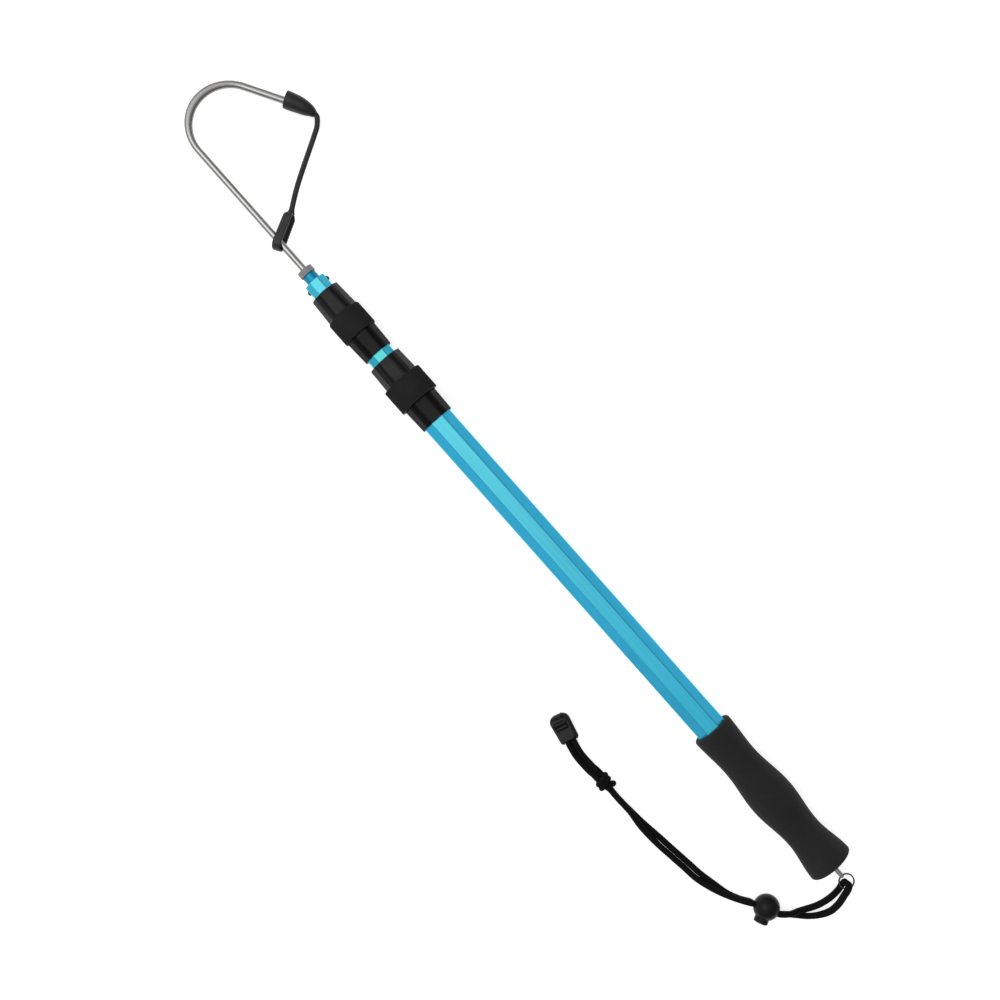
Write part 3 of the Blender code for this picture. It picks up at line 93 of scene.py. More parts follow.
CAP_SECTIONS = (
    (0.0, 1.0, 0.0), (0.22, 0.98, 0.05), (0.48, 0.91, 0.11),
    (0.70, 0.79, 0.24), (0.875, 0.60, 0.365), (1.0, 0.40, 0.53)
)
STRAP_WIDTH, STRAP_THICKNESS, STRAP_STRAIGHT_END, STRAP_LEAVING = 0.0041, 0.0026, 0.0200, 0.0020
STRAP_TURN = ((0.0048, 0.0083), (0.0051, 0.0139))
EYELET_ALONG_SHANK, EYELET_LENGTH, EYELET_BELOW_SHANK, EYELET_WALL = 0.0410, 0.0310, 0.0069, 0.0020
EYELET_HOLE_HEIGHT, EYELET_STRAP_END_RADIUS, EYELET_WIDTH = 0.0084, 0.0055, 0.0066
EYELET_LEAN, EYELET_ROLL, EYELET_SHOULDER = radians(28.5), radians(-16.0), 0.0042
CORD_RADIUS, CORD_PINCHED_RADIUS, CORD_PAIR_SPACING = 0.0022, 0.0019, 0.0048
FLOOR_CLEARANCE = 0.0001
CORD_REST = FLOOR + CORD_RADIUS + FLOOR_CLEARANCE
CORD_HOLE_OFFSET, CORD_PINCH_START, CORD_PINCH_EASE = 0.0012, 0.0102, 0.0022
BALL_RADIUS, BALL_X, BALL_Y, BALL_TURN = 0.0101, 0.0054, 0.0577, radians(26.0)
SEAM_HEIGHT, SEAM_SPREAD = 0.00006, 0.045
PLUNGER_RADIUS, PLUNGER_REACH, PLUNGER_TRAVEL, PLUNGER_END_WALL = 0.0055, 0.0124, 0.0025, 0.0014
SPRING_WIRE_RADIUS, SPRING_RADIUS, SPRING_TURNS, SPRING_LENGTH = 0.00022, 0.0026, 3.5, 0.0050
KNOT_X, KNOT_Y, KNOT_HALF_LENGTH = 0.1556, 0.0868, 0.0072
KNOT_WRAP_RADIUS, KNOT_WRAP_THICKNESS, KNOT_FLATNESS = 0.0046, 0.0020, 0.9
CLIP_X, CLIP_Y, CLIP_TURN = 0.2054, 0.0825, radians(-14.7)
CLIP_LENGTH, CLIP_WIDTH, CLIP_BASE_HEIGHT, CLIP_FLOOR = 0.0224, 0.0146, 0.0058, 0.0013
CLIP_MOUTH_CORNER, CLIP_HINGE_CORNER, CLIP_EDGE, CLIP_FLARE = 0.0024, 0.0056, 0.0008, 0.0014
NOTCH_PITCH, NOTCH_DEPTH, NOTCH_INSET = 0.0042, 0.0005, 0.0012
CLIP_TROUGH_LENGTH, CLIP_PIN_RADIUS, CLIP_PIN_FROM_END = 0.0095, 0.0008, 0.0008
CLIP_EAR_WIDTH, CLIP_EAR_REACH, KNUCKLE_WIDTH, KNUCKLE_RADIUS = 0.0013, 0.0013, 0.0030, 0.0017
COVER_LENGTH, COVER_WIDTH, COVER_THICKNESS, COVER_SIDE_SHIFT = 0.0176, 0.0118, 0.0018, 0.0010
COVER_MOUTH_CORNER, COVER_HINGE_CORNER, COVER_EDGE, COVER_NECK = 0.0026, 0.0040, 0.0005, 0.0010
COVER_RIBS, RIB_PITCH, RIB_WIDTH, RIB_INSET, RIB_HEIGHT = 2, 0.0033, 0.0013, 0.0010, 0.0006
PANEL_RIM, PANEL_INSET, PANEL_CORNER, PANEL_EDGE, PANEL_DEPTH = 0.0016, 0.0010, 0.0006, 0.0002, 0.0004
PANEL_SLOPE = radians(-8.0)

# Where the knurled rings of the two nuts start and end
KNURLED_RINGS = (("lower", (0.4607, 0.4607 + 0.0207)), ("upper", (0.5265, 0.5265 + 0.0201)))

# Painted shade darkens the lid below its face, and a painted reflection turns the main tube's blue between
# two stations of the frame
LID_SHADE_HEIGHT, REFLECTION_FADE_STATIONS = 0.0079, (-0.19, 0.06)

# Camera, light and floor
SENSOR_WIDTH, LENS, FLOOR_REACH = 36.0, 53.28, 4.0
CAMERA_RIGHT, CAMERA_UP = (-0.66348, -0.74819, 0.0), (0.74819, -0.66348, 0.0)
CAMERA_PLACE = (0.365860, 0.004730, 1.100036)
SOFTBOX_SIZE, SOFTBOX_WATTS, SOFTBOX_PLACE, SOFTBOX_TARGET = 1.4, 7.0, (0.75, 0.60, 2.0), (0.1, 0.0, 0.0)
SKY_LIGHT, SKY_SHARPNESS, SKY_GAIN, SKY_BASE = (0.46, 0.16, 0.87), 3.0, 1.35, 0.25

# Cord lengths in metres, and the fuller radius of the real braid, whose strands press on each other
STRAND_A_LENGTH, STRAND_B_LENGTH, TAIL_LENGTH = 0.227, 0.236, 0.040
TAIL_SPACING = 0.0045
BRAID_RADIUS, BRAID_CARRIERS, BRAID_LAY, BRAID_DEPTH = 0.00238, 8, 0.0125, 0.06
CORD_SPACING, FULLER_START, FULLER_END, FULLER_EASE = 0.00045, 0.006, 0.050, 0.012
DRAWN_SHARE, DRAWN_LENGTH = 0.12, 0.003


def spin(axis, angle):
    return Matrix.Rotation(angle, 4, axis)


def shift(x, y=0.0, z=0.0):
    return Matrix.Translation((x, y, z))


def moved(points, matrix):
    m = np.array(matrix, float)
    return np.asarray(points, float) @ m[:3, :3].T + m[:3, 3]


def unit(vector):
    return vector / np.linalg.norm(vector)


# Materials


class Finish:
    """A Principled material under construction, its textures placed in the frame's metres."""

    def __init__(self, name):
        self.material = bpy.data.materials.new(name)
        self.material.use_nodes = True
        self.tree = self.material.node_tree
        self.normal = {}

    def link(self, socket, value):
        if isinstance(value, bpy.types.NodeSocket):
            self.tree.links.new(value, socket)
        else:
            socket.default_value = value

    def feed(self, node, inputs):
        for key, value in inputs.items():
            self.link(node.inputs[key.replace("_", " ")], value)
        return node

    def node(self, kind, **inputs):
        return self.feed(self.tree.nodes.new(kind), inputs)

    def texture(self, scale, stretch=(1.0, 1.0, 1.0), detail=3.0, cells=False):
        place = self.node("ShaderNodeTexCoord").outputs["Object"]
        mapping = self.node("ShaderNodeMapping", Vector=place, Scale=[scale * share for share in stretch])
        where = {"Vector": mapping.outputs["Vector"], "Scale": 1.0}
        if cells:
            return self.node("ShaderNodeTexVoronoi", **where).outputs["Distance"]
        return self.node("ShaderNodeTexNoise", Detail=detail, **where).outputs["Fac"]

    def part(self, kind, axis):
        """One axis of the object's own coordinates or normals."""
        place = self.node("ShaderNodeTexCoord").outputs[kind]
        return self.node("ShaderNodeSeparateXYZ", Vector=place).outputs[axis]

    def maths(self, operation, first, second=0.0):
        made = self.tree.nodes.new("ShaderNodeMath")
        made.operation = operation
        for socket, value in zip(made.inputs, (first, second)):
            self.link(socket, value)
        return made.outputs[0]

    def spread(self, value, low, high, source=(0.3, 0.7)):
        ends = {"From_Min": source[0], "From_Max": source[1], "To_Min": low, "To_Max": high}
        return self.node("ShaderNodeMapRange", Value=value, **ends).outputs["Result"]

    def mix(self, factor, first, second, blend="MIX"):
        made = self.node("ShaderNodeMix")
        made.data_type = "RGBA"
        made.blend_type = blend
        self.link(made.inputs[0], factor)
        for socket, value in ((made.inputs[6], first), (made.inputs[7], second)):
            self.link(socket, value if isinstance(value, bpy.types.NodeSocket) else (*value, 1.0))
        return made.outputs[2]

    def fade(self, value, first, second, share=1.0, source=(0.3, 0.7)):
        """A mix of two colours that follows a value."""
        return self.mix(self.spread(value, 0.0, share, source), first, second)

    def bump(self, height, depth):
        made = self.node("ShaderNodeBump", Height=height, Strength=1.0, Distance=depth, **self.normal)
        self.normal = {"Normal": made.outputs["Normal"]}

    def done(self, colour, roughness, **sockets):
        shader = self.tree.nodes["Principled BSDF"]
        self.feed(shader, {"Base_Color": colour, "Roughness": roughness, **self.normal, **sockets})
        return self.material


def grey(tone):
    return (tone, tone, tone)


def anodised(name, deep, pale, roughness, painted_facet_light=None, far=None, metallic=0.9):
    """Anodised extrusion: die lines along the pole, clouding, a satin grain, and painted light on the tilted
    side facets.
    """
    finish = Finish(name)
    lines = finish.texture(900.0, (0.012, 1.0, 1.0), detail=2.0)
    cloud = finish.texture(28.0, (0.35, 1.0, 1.0), detail=2.0)
    grain = finish.texture(5200.0, (0.5, 1.0, 1.0), detail=1.0)
    tone = finish.fade(cloud, deep, pale)
    # Painted reflection: along the pole the blue turns to a second tone, standing in for the light reflected
    # differently towards the locks
    if far:
        tone = finish.fade(finish.part("Object", "X"), tone, far, 1.0, REFLECTION_FADE_STATIONS)
    # Painted light: the tilted side facets, found by their normals, take a tone of their own that stands in
    # for how they catch the light
    if painted_facet_light:
        both = finish.maths("MULTIPLY", finish.part("Normal", "Y"), finish.part("Normal", "Z"))
        painted_facet_mask = finish.maths("MULTIPLY", finish.maths("ABSOLUTE", both), 2.0)
        tone = finish.fade(painted_facet_mask, tone, painted_facet_light, 1.0, (0.3, 0.9))
    streaks_and_painted_light = finish.mix(finish.spread(lines, 1.0, 0.0), tone, grey(0.86), "MULTIPLY")
    finish.bump(lines, 0.0000040)
    finish.bump(grain, 0.0000022)
    rough = finish.spread(lines, roughness - 0.035, roughness + 0.045)
    return finish.done(streaks_and_painted_light, rough, Metallic=metallic)


def bright_metal(name, dark, light, roughness, stretch):
    """Drawn or polished steel with fine scratches along its length and faint stains."""
    finish = Finish(name)
    scratches = finish.texture(1500.0, stretch)
    stain = finish.texture(60.0)
    tone = finish.fade(scratches, dark, light)
    dulled = finish.fade(stain, tone, [share * 0.8 for share in dark], 0.25, (0.5, 0.75))
    finish.bump(scratches, 0.0000035)
    rough = finish.spread(scratches, roughness - 0.05, roughness + 0.08)
    return finish.done(dulled, rough, Metallic=1.0, Specular_Tint=(0.4, 0.4, 0.4, 1.0))


def foam(name):
    """Closed-cell foam: a matte skin of fine cells with small open pores."""
    finish = Finish(name)
    cells = finish.texture(2300.0, cells=True)
    pores = finish.texture(950.0, detail=4.0)
    cloud = finish.texture(45.0)
    base = finish.fade(cloud, (0.0125, 0.0125, 0.0130), (0.0185, 0.0185, 0.0190))
    # Painted shade: the pores are darker, as their shadowed hollows
    pore_shaded = finish.fade(pores, base, grey(0.006), 0.7, (0.58, 0.72))
    finish.bump(cells, 0.000035)
    finish.bump(finish.spread(pores, 1.0, 0.0, (0.58, 0.70)), 0.00006)
    rough = finish.spread(cloud, 0.82, 0.94)
    return finish.done(pore_shaded, rough, Specular_IOR_Level=0.24, Sheen_Weight=0.03, Sheen_Roughness=0.5)


def moulded(name, dark, light, roughness, grain, depth, specular=0.5, flutes=None, matt=None, face=None):
    """Moulded plastic or rubber with a fine grain, flow marks and worn spots.

    Painted shade darkens its flutes round the pole, it is matt between two stations, and below a face's
    height it takes painted shade as dark as a recess.
    """
    finish = Finish(name)
    spark = finish.texture(grain)
    flow = finish.texture(90.0, (1.0, 0.45, 0.45))
    rub = finish.texture(240.0, detail=4.0)
    tone = finish.fade(flow, dark, light)
    worn_and_shaded = finish.fade(rub, tone, [share * 1.4 + 0.004 for share in light], 0.35, (0.58, 0.80))
    outside = 1.0
    finish.bump(spark, depth)
    rough = finish.spread(rub, roughness + 0.05, roughness - 0.06)
    if matt:
        middle = POLE.translation.x + (matt[0] + matt[1]) / 2
        half = (matt[1] - matt[0]) / 2
        off = finish.maths("ABSOLUTE", finish.maths("SUBTRACT", finish.part("Object", "X"), middle))
        outside = finish.spread(off, 0.0, 1.0, (half - 0.0003, half + 0.0003))
        rough = finish.maths("MAXIMUM", rough, finish.spread(outside, 0.85, 0.0, (0.0, 1.0)))
    # Painted shade: outside the knurled ring the flutes round the pole take a darker colour, as their
    # shadowed grooves
    if flutes:
        up = finish.maths("SUBTRACT", finish.part("Object", "Z"), POLE.translation.z)
        sideways = finish.maths("SUBTRACT", finish.part("Object", "Y"), POLE.translation.y)
        around = finish.maths("MULTIPLY", finish.maths("ARCTAN2", up, sideways), float(FLUTES))
        groove = finish.spread(finish.maths("COSINE", around), 0.0, 1.0, (0.1, 0.7))
        worn_and_shaded = finish.mix(finish.maths("MULTIPLY", groove, outside), worn_and_shaded, flutes)
    # Painted shade: below the face's height, in the lid's panel and down its sides, the colour turns as dark
    # as a shadowed recess
    if face:
        recess_shade = finish.spread(finish.part("Object", "Z"), 1.0, 0.0, (face - 0.0007, face - 0.0001))
        worn_and_shaded = finish.mix(recess_shade, worn_and_shaded, [share * 0.3 for share in dark])
    return finish.done(worn_and_shaded, rough, Specular_IOR_Level=specular)


def cord_fibre(name):
    """Black polyester cord: fine filaments over the braid, a little worn fluff on the crowns."""
    finish = Finish(name)
    filaments = finish.texture(5200.0, (1.0, 0.35, 0.6))
    fluff = finish.texture(1300.0, detail=5.0)
    tone = finish.fade(filaments, (0.0022, 0.0022, 0.0024), (0.0060, 0.0060, 0.0064))
    worn = finish.fade(fluff, tone, (0.012, 0.012, 0.0125), 0.5, (0.55, 0.75))
    finish.bump(filaments, 0.00003)
    rough = finish.spread(fluff, 0.78, 0.92)
    return finish.done(worn, rough, Specular_IOR_Level=0.10, Sheen_Weight=0.01, Sheen_Roughness=0.4)


def backdrop(name):
    finish = Finish(name)
    cloud = finish.texture(3.0)
    tone = finish.fade(cloud, grey(0.60), grey(0.64))
    glow = {"Emission_Color": (1.0, 1.0, 1.0, 1.0), "Emission_Strength": 0.70}
    return finish.done(tone, 0.85, Specular_IOR_Level=0.1, **glow)


# The tones after the roughness are painted: light on the tilted side facets, and on the main tube a painted
# reflection that shifts towards the locks
MAIN_BLUE = anodised(
    "anodised_blue", (0.052, 0.505, 0.710), (0.064, 0.550, 0.770), 0.33,
    (0.045, 0.535, 0.850), (0.090, 0.512, 0.620)
)
MIDDLE_BLUE = anodised(
    "anodised_teal", (0.084, 0.500, 0.515), (0.100, 0.543, 0.557), 0.33, (0.042, 0.53, 0.72)
)
TIP_BLUE = anodised(
    "anodised_pale_blue", (0.078, 0.445, 0.520), (0.094, 0.486, 0.572), 0.33, (0.066, 0.60, 0.82)
)
SEAT_BLUE = anodised("seat_blue", (0.010, 0.285, 0.480), (0.013, 0.315, 0.525), 0.50, metallic=0.85)
STAINLESS = bright_metal("stainless", (0.29, 0.285, 0.28), (0.40, 0.395, 0.385), 0.17, (0.7, 1.0, 1.0))
STEEL = bright_metal("plated_steel", grey(0.34), grey(0.48), 0.24, (0.02, 1.0, 1.0))
DARK_STEEL = bright_metal("dark_steel", (0.045, 0.045, 0.048), (0.12, 0.12, 0.123), 0.30, (1.0, 1.0, 1.0))
FOAM = foam("foam")
BLACKS = ((0.0170, 0.0170, 0.0173), (0.0215, 0.0215, 0.0219))
# A painted shade for the locks' flutes
FLUTE_SHADE = (0.0055, 0.0055, 0.0056)
PLASTIC = moulded("black_plastic", *BLACKS, 0.36, 2600.0, 0.000008, 0.04, FLUTE_SHADE)
NUT_PLASTICS = {
    name: moulded(name + "_nut_plastic", *BLACKS, 0.33, 2600.0, 0.000008, 0.11, FLUTE_SHADE, ends)
    for name, ends in KNURLED_RINGS
}
GLOSS = moulded(
    "gloss_plastic", (0.0085, 0.0085, 0.0087), (0.0125, 0.0125, 0.0128), 0.28, 1500.0, 0.000003, 0.10
)
# The lid takes painted shade below its face's height
LID = moulded("lid_plastic", grey(0.026), grey(0.032), 0.42, 2600.0, 0.000006, 0.10, face=LID_SHADE_HEIGHT)
TRAY = moulded("tray_plastic", grey(0.010), grey(0.014), 0.45, 2600.0, 0.000006, 0.15)
NYLON = moulded("nylon", (0.56, 0.56, 0.53), (0.66, 0.66, 0.63), 0.46, 2000.0, 0.000010)
RUBBER = moulded("rubber", (0.0085, 0.0083, 0.0085), (0.0135, 0.0132, 0.0135), 0.42, 2200.0, 0.000010, 0.36)
GREY = moulded("grey_plastic", (0.20, 0.205, 0.205), (0.25, 0.255, 0.255), 0.50, 2600.0, 0.000014, 0.4)
CORD = cord_fibre("cord")


# Pieces


def placed(name, data):
    """A new object of the scene from its data."""
    obj = bpy.data.objects.new(name, data)
    bpy.context.scene.collection.objects.link(obj)
    return obj


def outwards(points, faces):
    """A closed skin's faces, turned outwards."""
    inner = points - points.mean(0)
    volume = 0.0
    for size in {len(face) for face in faces}:
        corners = inner[np.array([face for face in faces if len(face) == size])]
        for i in range(1, size - 1):
            a, b, c = corners[:, 0], corners[:, i], corners[:, i + 1]
            volume += np.einsum("ij,ij->i", a, np.cross(b, c)).sum()
    return [tuple(face)[::-1] for face in faces] if volume < 0 else faces


def solid(name, skin, place=POLE, sharp=40.0):
    """A mesh object from a closed skin, its faces turned outwards and shaded smooth."""
    points, faces = skin
    points = moved(points, place)
    faces = outwards(points, faces)
    mesh = bpy.data.meshes.new(name)
    mesh.from_pydata(points.tolist(), [], faces)
    mesh.shade_smooth()
    mesh.set_sharp_from_angle(angle=radians(sharp))
    return placed(name, mesh)


def dress(obj, finish, body, slot, *replaced):
    """Gives a piece its material and its body, and hides the CAD nodes that it stands for."""
    obj.data.materials.clear()
    obj.data.materials.append(finish)
    if body:
        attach(obj, body)
    if replaced:
        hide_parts(*replaced)
    return obj


def loft(rings, joined=False):
    """A skin over closed rings of points, closed by fans, or with its last ring joined to its first."""
    rings = np.asarray(rings, float)
    count, around = rings.shape[:2]
    points = rings.reshape(-1, 3)
    first = np.arange(count if joined else count - 1)[:, None] * around
    after = (first + around) % (count * around)
    column = np.arange(around)[None, :]
    beside = (column + 1) % around
    quads = np.stack([first + column, first + beside, after + beside, after + column], -1)
    faces = [tuple(quad) for quad in quads.reshape(-1, 4).tolist()]
    if not joined:
        low, high, last = len(points), len(points) + 1, (count - 1) * around
        points = np.vstack([points, rings[0].mean(0), rings[-1].mean(0)])
        for i in range(around):
            j = (i + 1) % around
            faces.append((low, j, i))
            faces.append((high, last + i, last + j))
    return points, faces


def round_angles(count):
    return 2 * pi * np.arange(count) / count


def circle(count):
    return np.stack([np.cos(round_angles(count)), np.sin(round_angles(count))], -1)


def rings_at(angles, *rows):
    """Rings round the pole from (station, radius) rows, a radius one number or one for each angle."""
    one = np.ones_like(angles)
    return [
        np.stack([station * one, radius * one * np.cos(angles), radius * one * np.sin(angles)], -1)
        for station, radius in rows
    ]


def turned(profile, around, joined=False):
    """A skin turned round X from (station, radius) points."""
    rows = [(station, max(radius, 1e-6)) for station, radius in profile]
    return loft(rings_at(round_angles(around), *rows), joined)


def rounded(corners, steps=4):
    """A profile with its corners rounded: each corner is (station, radius, rounding)."""
    found = []
    count = len(corners)
    for i, (x, y, rounding) in enumerate(corners):
        here = np.array((x, y))
        if rounding <= 0 or i in (0, count - 1):
            found.append((x, y))
            continue
        before = unit(np.array(corners[i - 1][:2]) - here)
        after = unit(np.array(corners[i + 1][:2]) - here)
        for step in range(steps + 1):
            t = step / steps
            found.append(tuple(here + rounding * ((1 - t) ** 2 * before + t**2 * after)))
    return found


def octagon_radius(angles, across, corner=CORNER_RADIUS):
    """How far an octagon with rounded corners reaches at each angle, with its flats square to Y and Z."""
    from_flat = np.abs((angles + EIGHTH / 2) % EIGHTH - EIGHTH / 2)
    half = across / 2
    centre = (half - corner) / cos(EIGHTH / 2)
    from_corner = EIGHTH / 2 - from_flat
    flat = half / np.cos(from_flat)
    turn = centre * np.cos(from_corner) + np.sqrt(
        np.maximum(corner**2 - (centre * np.sin(from_corner)) ** 2, 0.0)
    )
    on_flat = half * np.tan(from_flat) <= (half - corner) * tan(EIGHTH / 2)
    return np.where(on_flat, flat, turn)


CORNER_ANGLES = 6
BESIDE_CORNER = 0.93


def octagon_angles(across):
    """Angles for an octagon's outline, close together where its corners turn."""
    edge = atan((across / 2 - CORNER_RADIUS) * tan(EIGHTH / 2) / (across / 2))
    turn = np.linspace(edge, EIGHTH - edge, CORNER_ANGLES)
    side = np.concatenate([[0.0, edge * BESIDE_CORNER], turn, [EIGHTH - edge * BESIDE_CORNER]])
    return (side[None, :] + EIGHTH * np.arange(8)[:, None]).ravel()


def smooth_route(route, spacing):
    """Points of a smooth curve through the route's own points, about a spacing apart at most."""
    rows = [np.array(row, float) for row in route]
    rows = [2 * rows[0] - rows[1], *rows, 2 * rows[-1] - rows[-2]]
    found = [rows[1]]
    for before, start, end, after in zip(rows, rows[1:], rows[2:], rows[3:]):
        knots = [0.0]
        for a, b in ((before, start), (start, end), (end, after)):
            knots.append(knots[-1] + sqrt(np.linalg.norm((b - a)[:3])))
        count = max(1, round(np.linalg.norm((end - start)[:3]) / spacing))
        for i in range(1, count + 1):
            t = knots[1] + (knots[2] - knots[1]) * i / count
            found.append(between((before, start, end, after), knots, t))
    return np.array(found)


def between(rows, knots, t):
    """The centripetal Catmull-Rom point at knot value t, from four rows of a route."""
    for level in (((0, 1), (1, 2), (2, 3)), ((0, 2), (1, 3)), ((1, 2),)):
        spans = [(knots[low], knots[high]) for low, high in level]
        rows = [
            a * ((high - t) / (high - low)) + b * ((t - low) / (high - low))
            for a, b, (low, high) in zip(rows, rows[1:], spans)
        ]
    return rows[0]


def lengths_along(path):
    steps = np.linalg.norm(np.diff(path, axis=0), axis=1)
    return np.concatenate([[0.0], np.cumsum(steps)])


def sides_along(path, side, closed):
    """Two directions across a path at each point, turned as little as may be from point to point."""
    path = np.asarray(path, float)
    if closed:
        tangents = np.roll(path, -1, axis=0) - np.roll(path, 1, axis=0)
    else:
        tangents = np.gradient(path, axis=0)
    tangents /= np.linalg.norm(tangents, axis=1)[:, None]
    if side is None:
        side = np.eye(3)[np.argmin(np.abs(tangents[0]))]
    first = []
    for tangent in tangents:
        side = unit(side - tangent * (side @ tangent))
        first.append(side)
    first = np.array(first)
    return first, np.cross(tangents, first)


def sweep(path, section, side=None, closed=False):
    """Rings of a section along a path: (n, 2) points, or (m, n, 2) for one at each point of the path."""
    path = np.asarray(path, float)
    section = np.asarray(section, float)
    if section.ndim == 2:
        section = np.broadcast_to(section, (len(path), *section.shape))
    first, second = sides_along(path, side, closed)
    first, second = section[:, :, 0:1] * first[:, None, :], section[:, :, 1:2] * second[:, None, :]
    return path[:, None, :] + first + second


def squarish(width, height, power, around=32):
    """A section between an ellipse and a rectangle."""
    x, y = circle(around).T
    pairs = ((width, x), (height, y))
    return np.stack([size / 2 * np.sign(share) * np.abs(share) ** (2 / power) for size, share in pairs], -1)


def apply_modifiers(obj):
    bpy.context.view_layer.update()
    evaluated = obj.evaluated_get(bpy.context.evaluated_depsgraph_get())
    mesh = bpy.data.meshes.new_from_object(evaluated)
    obj.modifiers.clear()
    obj.data = mesh


def carve(obj, cuts, unions=(), bevel=0.0, segments=3):
    """Applies cuts and unions to a piece, removes the objects that made them, and rounds its edges."""
    for operation, others in (("UNION", unions), ("DIFFERENCE", cuts)):
        for other in others:
            modifier = obj.modifiers.new(other.name, "BOOLEAN")
            modifier.operation = operation
            modifier.object = other
            modifier.solver = "EXACT"
    apply_modifiers(obj)
    for other in (*cuts, *unions):
        bpy.data.objects.remove(other)
    if bevel:
        modifier = obj.modifiers.new("bevel", "BEVEL")
        modifier.width = bevel
        modifier.segments = segments
        modifier.limit_method = "ANGLE"
        modifier.angle_limit = BEVEL_ANGLE
        apply_modifiers(obj)
    obj.data.shade_smooth()
    obj.data.set_sharp_from_angle(angle=SHARP_ANGLE)


def block(name, low, high, place, bevel=0.0, segments=3):
    """A box between two corners, its edges rounded."""
    cage = bmesh.new()
    low, high = Vector(low), Vector(high)
    bmesh.ops.create_cube(cage, size=1.0, matrix=Matrix.Diagonal((*(high - low), 1.0)))
    if bevel:
        bmesh.ops.bevel(
            cage, geom=cage.edges[:], offset=bevel, segments=segments, profile=0.5, affect="EDGES"
        )
    bmesh.ops.transform(cage, matrix=place @ Matrix.Translation((low + high) / 2), verts=cage.verts)
    mesh = bpy.data.meshes.new(name)
    cage.to_mesh(mesh)
    cage.free()
    return placed(name, mesh)


def plate(name, low, high, low_corner, high_corner, edge, place, flare):
    """A flat plate between two corners, with round corners and rim, and its high Y side flared along X."""
    rings = []
    sweep_angles = np.radians(np.linspace(0.0, 90.0, 11))
    for face, rim in ((low[2], 1), (high[2], -1)):
        steps = [radians(15.0 * i) for i in range(7)][::rim]
        for angle in steps:
            inset = edge * (1 - sin(angle))
            z = face + rim * edge * (1 - cos(angle))
            ring = []
            for quarter, (x_side, y_side) in enumerate(((1, 1), (0, 1), (0, 0), (1, 0))):
                corner = high_corner if x_side else low_corner
                x_centre = (low[0] + corner, high[0] - corner)[x_side]
                y_centre = (low[1] + corner, high[1] - corner)[y_side]
                for turn in sweep_angles + quarter * QUARTER:
                    reach = max(corner - inset, 0.00001)
                    x, y = x_centre + reach * cos(turn), y_centre + reach * sin(turn)
                    ring.append((x, y + y_side * flare * (x - low[0]) / (high[0] - low[0]), z))
            rings.append(ring)
    return solid(name, loft(rings), place)


def rod(name, radius, low, high, place, around=32):
    """A plain rod along X of the place it is given."""
    return solid(name, turned([(low, radius), (high, radius)], around), place)


# Camera, light and floor


def make_camera():
    data = bpy.data.cameras.new("camera")
    data.sensor_width = SENSOR_WIDTH
    data.lens = LENS
    camera = placed("camera", data)
    matrix = Matrix((CAMERA_RIGHT, CAMERA_UP, (0.0, 0.0, 1.0))).transposed().to_4x4()
    matrix.translation = POLE @ Vector(CAMERA_PLACE)
    camera.matrix_world = matrix
    bpy.context.scene.camera = camera


def make_studio():
    world = bpy.data.worlds.new("studio")
    world.use_nodes = True
    tree = world.node_tree
    background = tree.nodes["Background"]
    background.inputs["Color"].default_value = (1.0, 1.0, 1.0, 1.0)
    value = tree.nodes.new("ShaderNodeTexCoord").outputs["Generated"]
    towards_light = tree.nodes.new("ShaderNodeVectorMath")
    towards_light.operation = "DOT_PRODUCT"
    towards_light.inputs[1].default_value = Vector(SKY_LIGHT).normalized()
    tree.links.new(value, towards_light.inputs[0])
    value = towards_light.outputs["Value"]
    steps = (("MAXIMUM", (0.0,)), ("POWER", (SKY_SHARPNESS,)), ("MULTIPLY_ADD", (SKY_GAIN, SKY_BASE)))
    for operation, numbers in steps:
        step = tree.nodes.new("ShaderNodeMath")
        step.operation = operation
        tree.links.new(value, step.inputs[0])
        for i, number in enumerate(numbers):
            step.inputs[i + 1].default_value = number
        value = step.outputs[0]
    tree.links.new(value, background.inputs["Strength"])
    bpy.context.scene.world = world
    softbox = bpy.data.lights.new("overhead", "AREA")
    softbox.shape = "RECTANGLE"
    softbox.size = softbox.size_y = SOFTBOX_SIZE
    softbox.energy = SOFTBOX_WATTS
    lamp = placed("overhead", softbox)
    lamp.location = SOFTBOX_PLACE
    aim = Vector(SOFTBOX_TARGET) - Vector(SOFTBOX_PLACE)
    lamp.rotation_euler = aim.to_track_quat("-Z", "Y").to_euler()
    bpy.context.scene.view_settings.view_transform = "Standard"

    floor = bpy.data.meshes.new("floor")
    corners = [(x * FLOOR_REACH, y * FLOOR_REACH, 0.0) for x, y in ((-1, -1), (1, -1), (1, 1), (-1, 1))]
    floor.from_pydata(corners, [], [(0, 1, 2, 3)])
    floor.materials.append(backdrop("floor"))
    ground = placed("floor", floor)
    ground.location.z = -0.0002


# Lanyard


def braid(path, factors, radius=BRAID_RADIUS, around=40, lay=BRAID_LAY):
    """Rings of a braided cord along a path: strands of two hands that pass over and under each other."""
    angles = round_angles(around)
    along = lengths_along(path)[:, None] / lay
    u = BRAID_CARRIERS * (angles[None, :] / (2 * pi) + along)
    v = BRAID_CARRIERS * (angles[None, :] / (2 * pi) - along)
    one, other = np.sin(pi * u), np.sin(pi * v)
    weave = np.maximum(np.abs(one) * (0.6 + 0.4 * one * other), np.abs(other) * (0.6 - 0.4 * one * other))
    radii = radius * np.asarray(factors)[:, None] * (1.0 + BRAID_DEPTH * (weave - 0.8))
    return sweep(path, radii[:, :, None] * circle(around)[None])


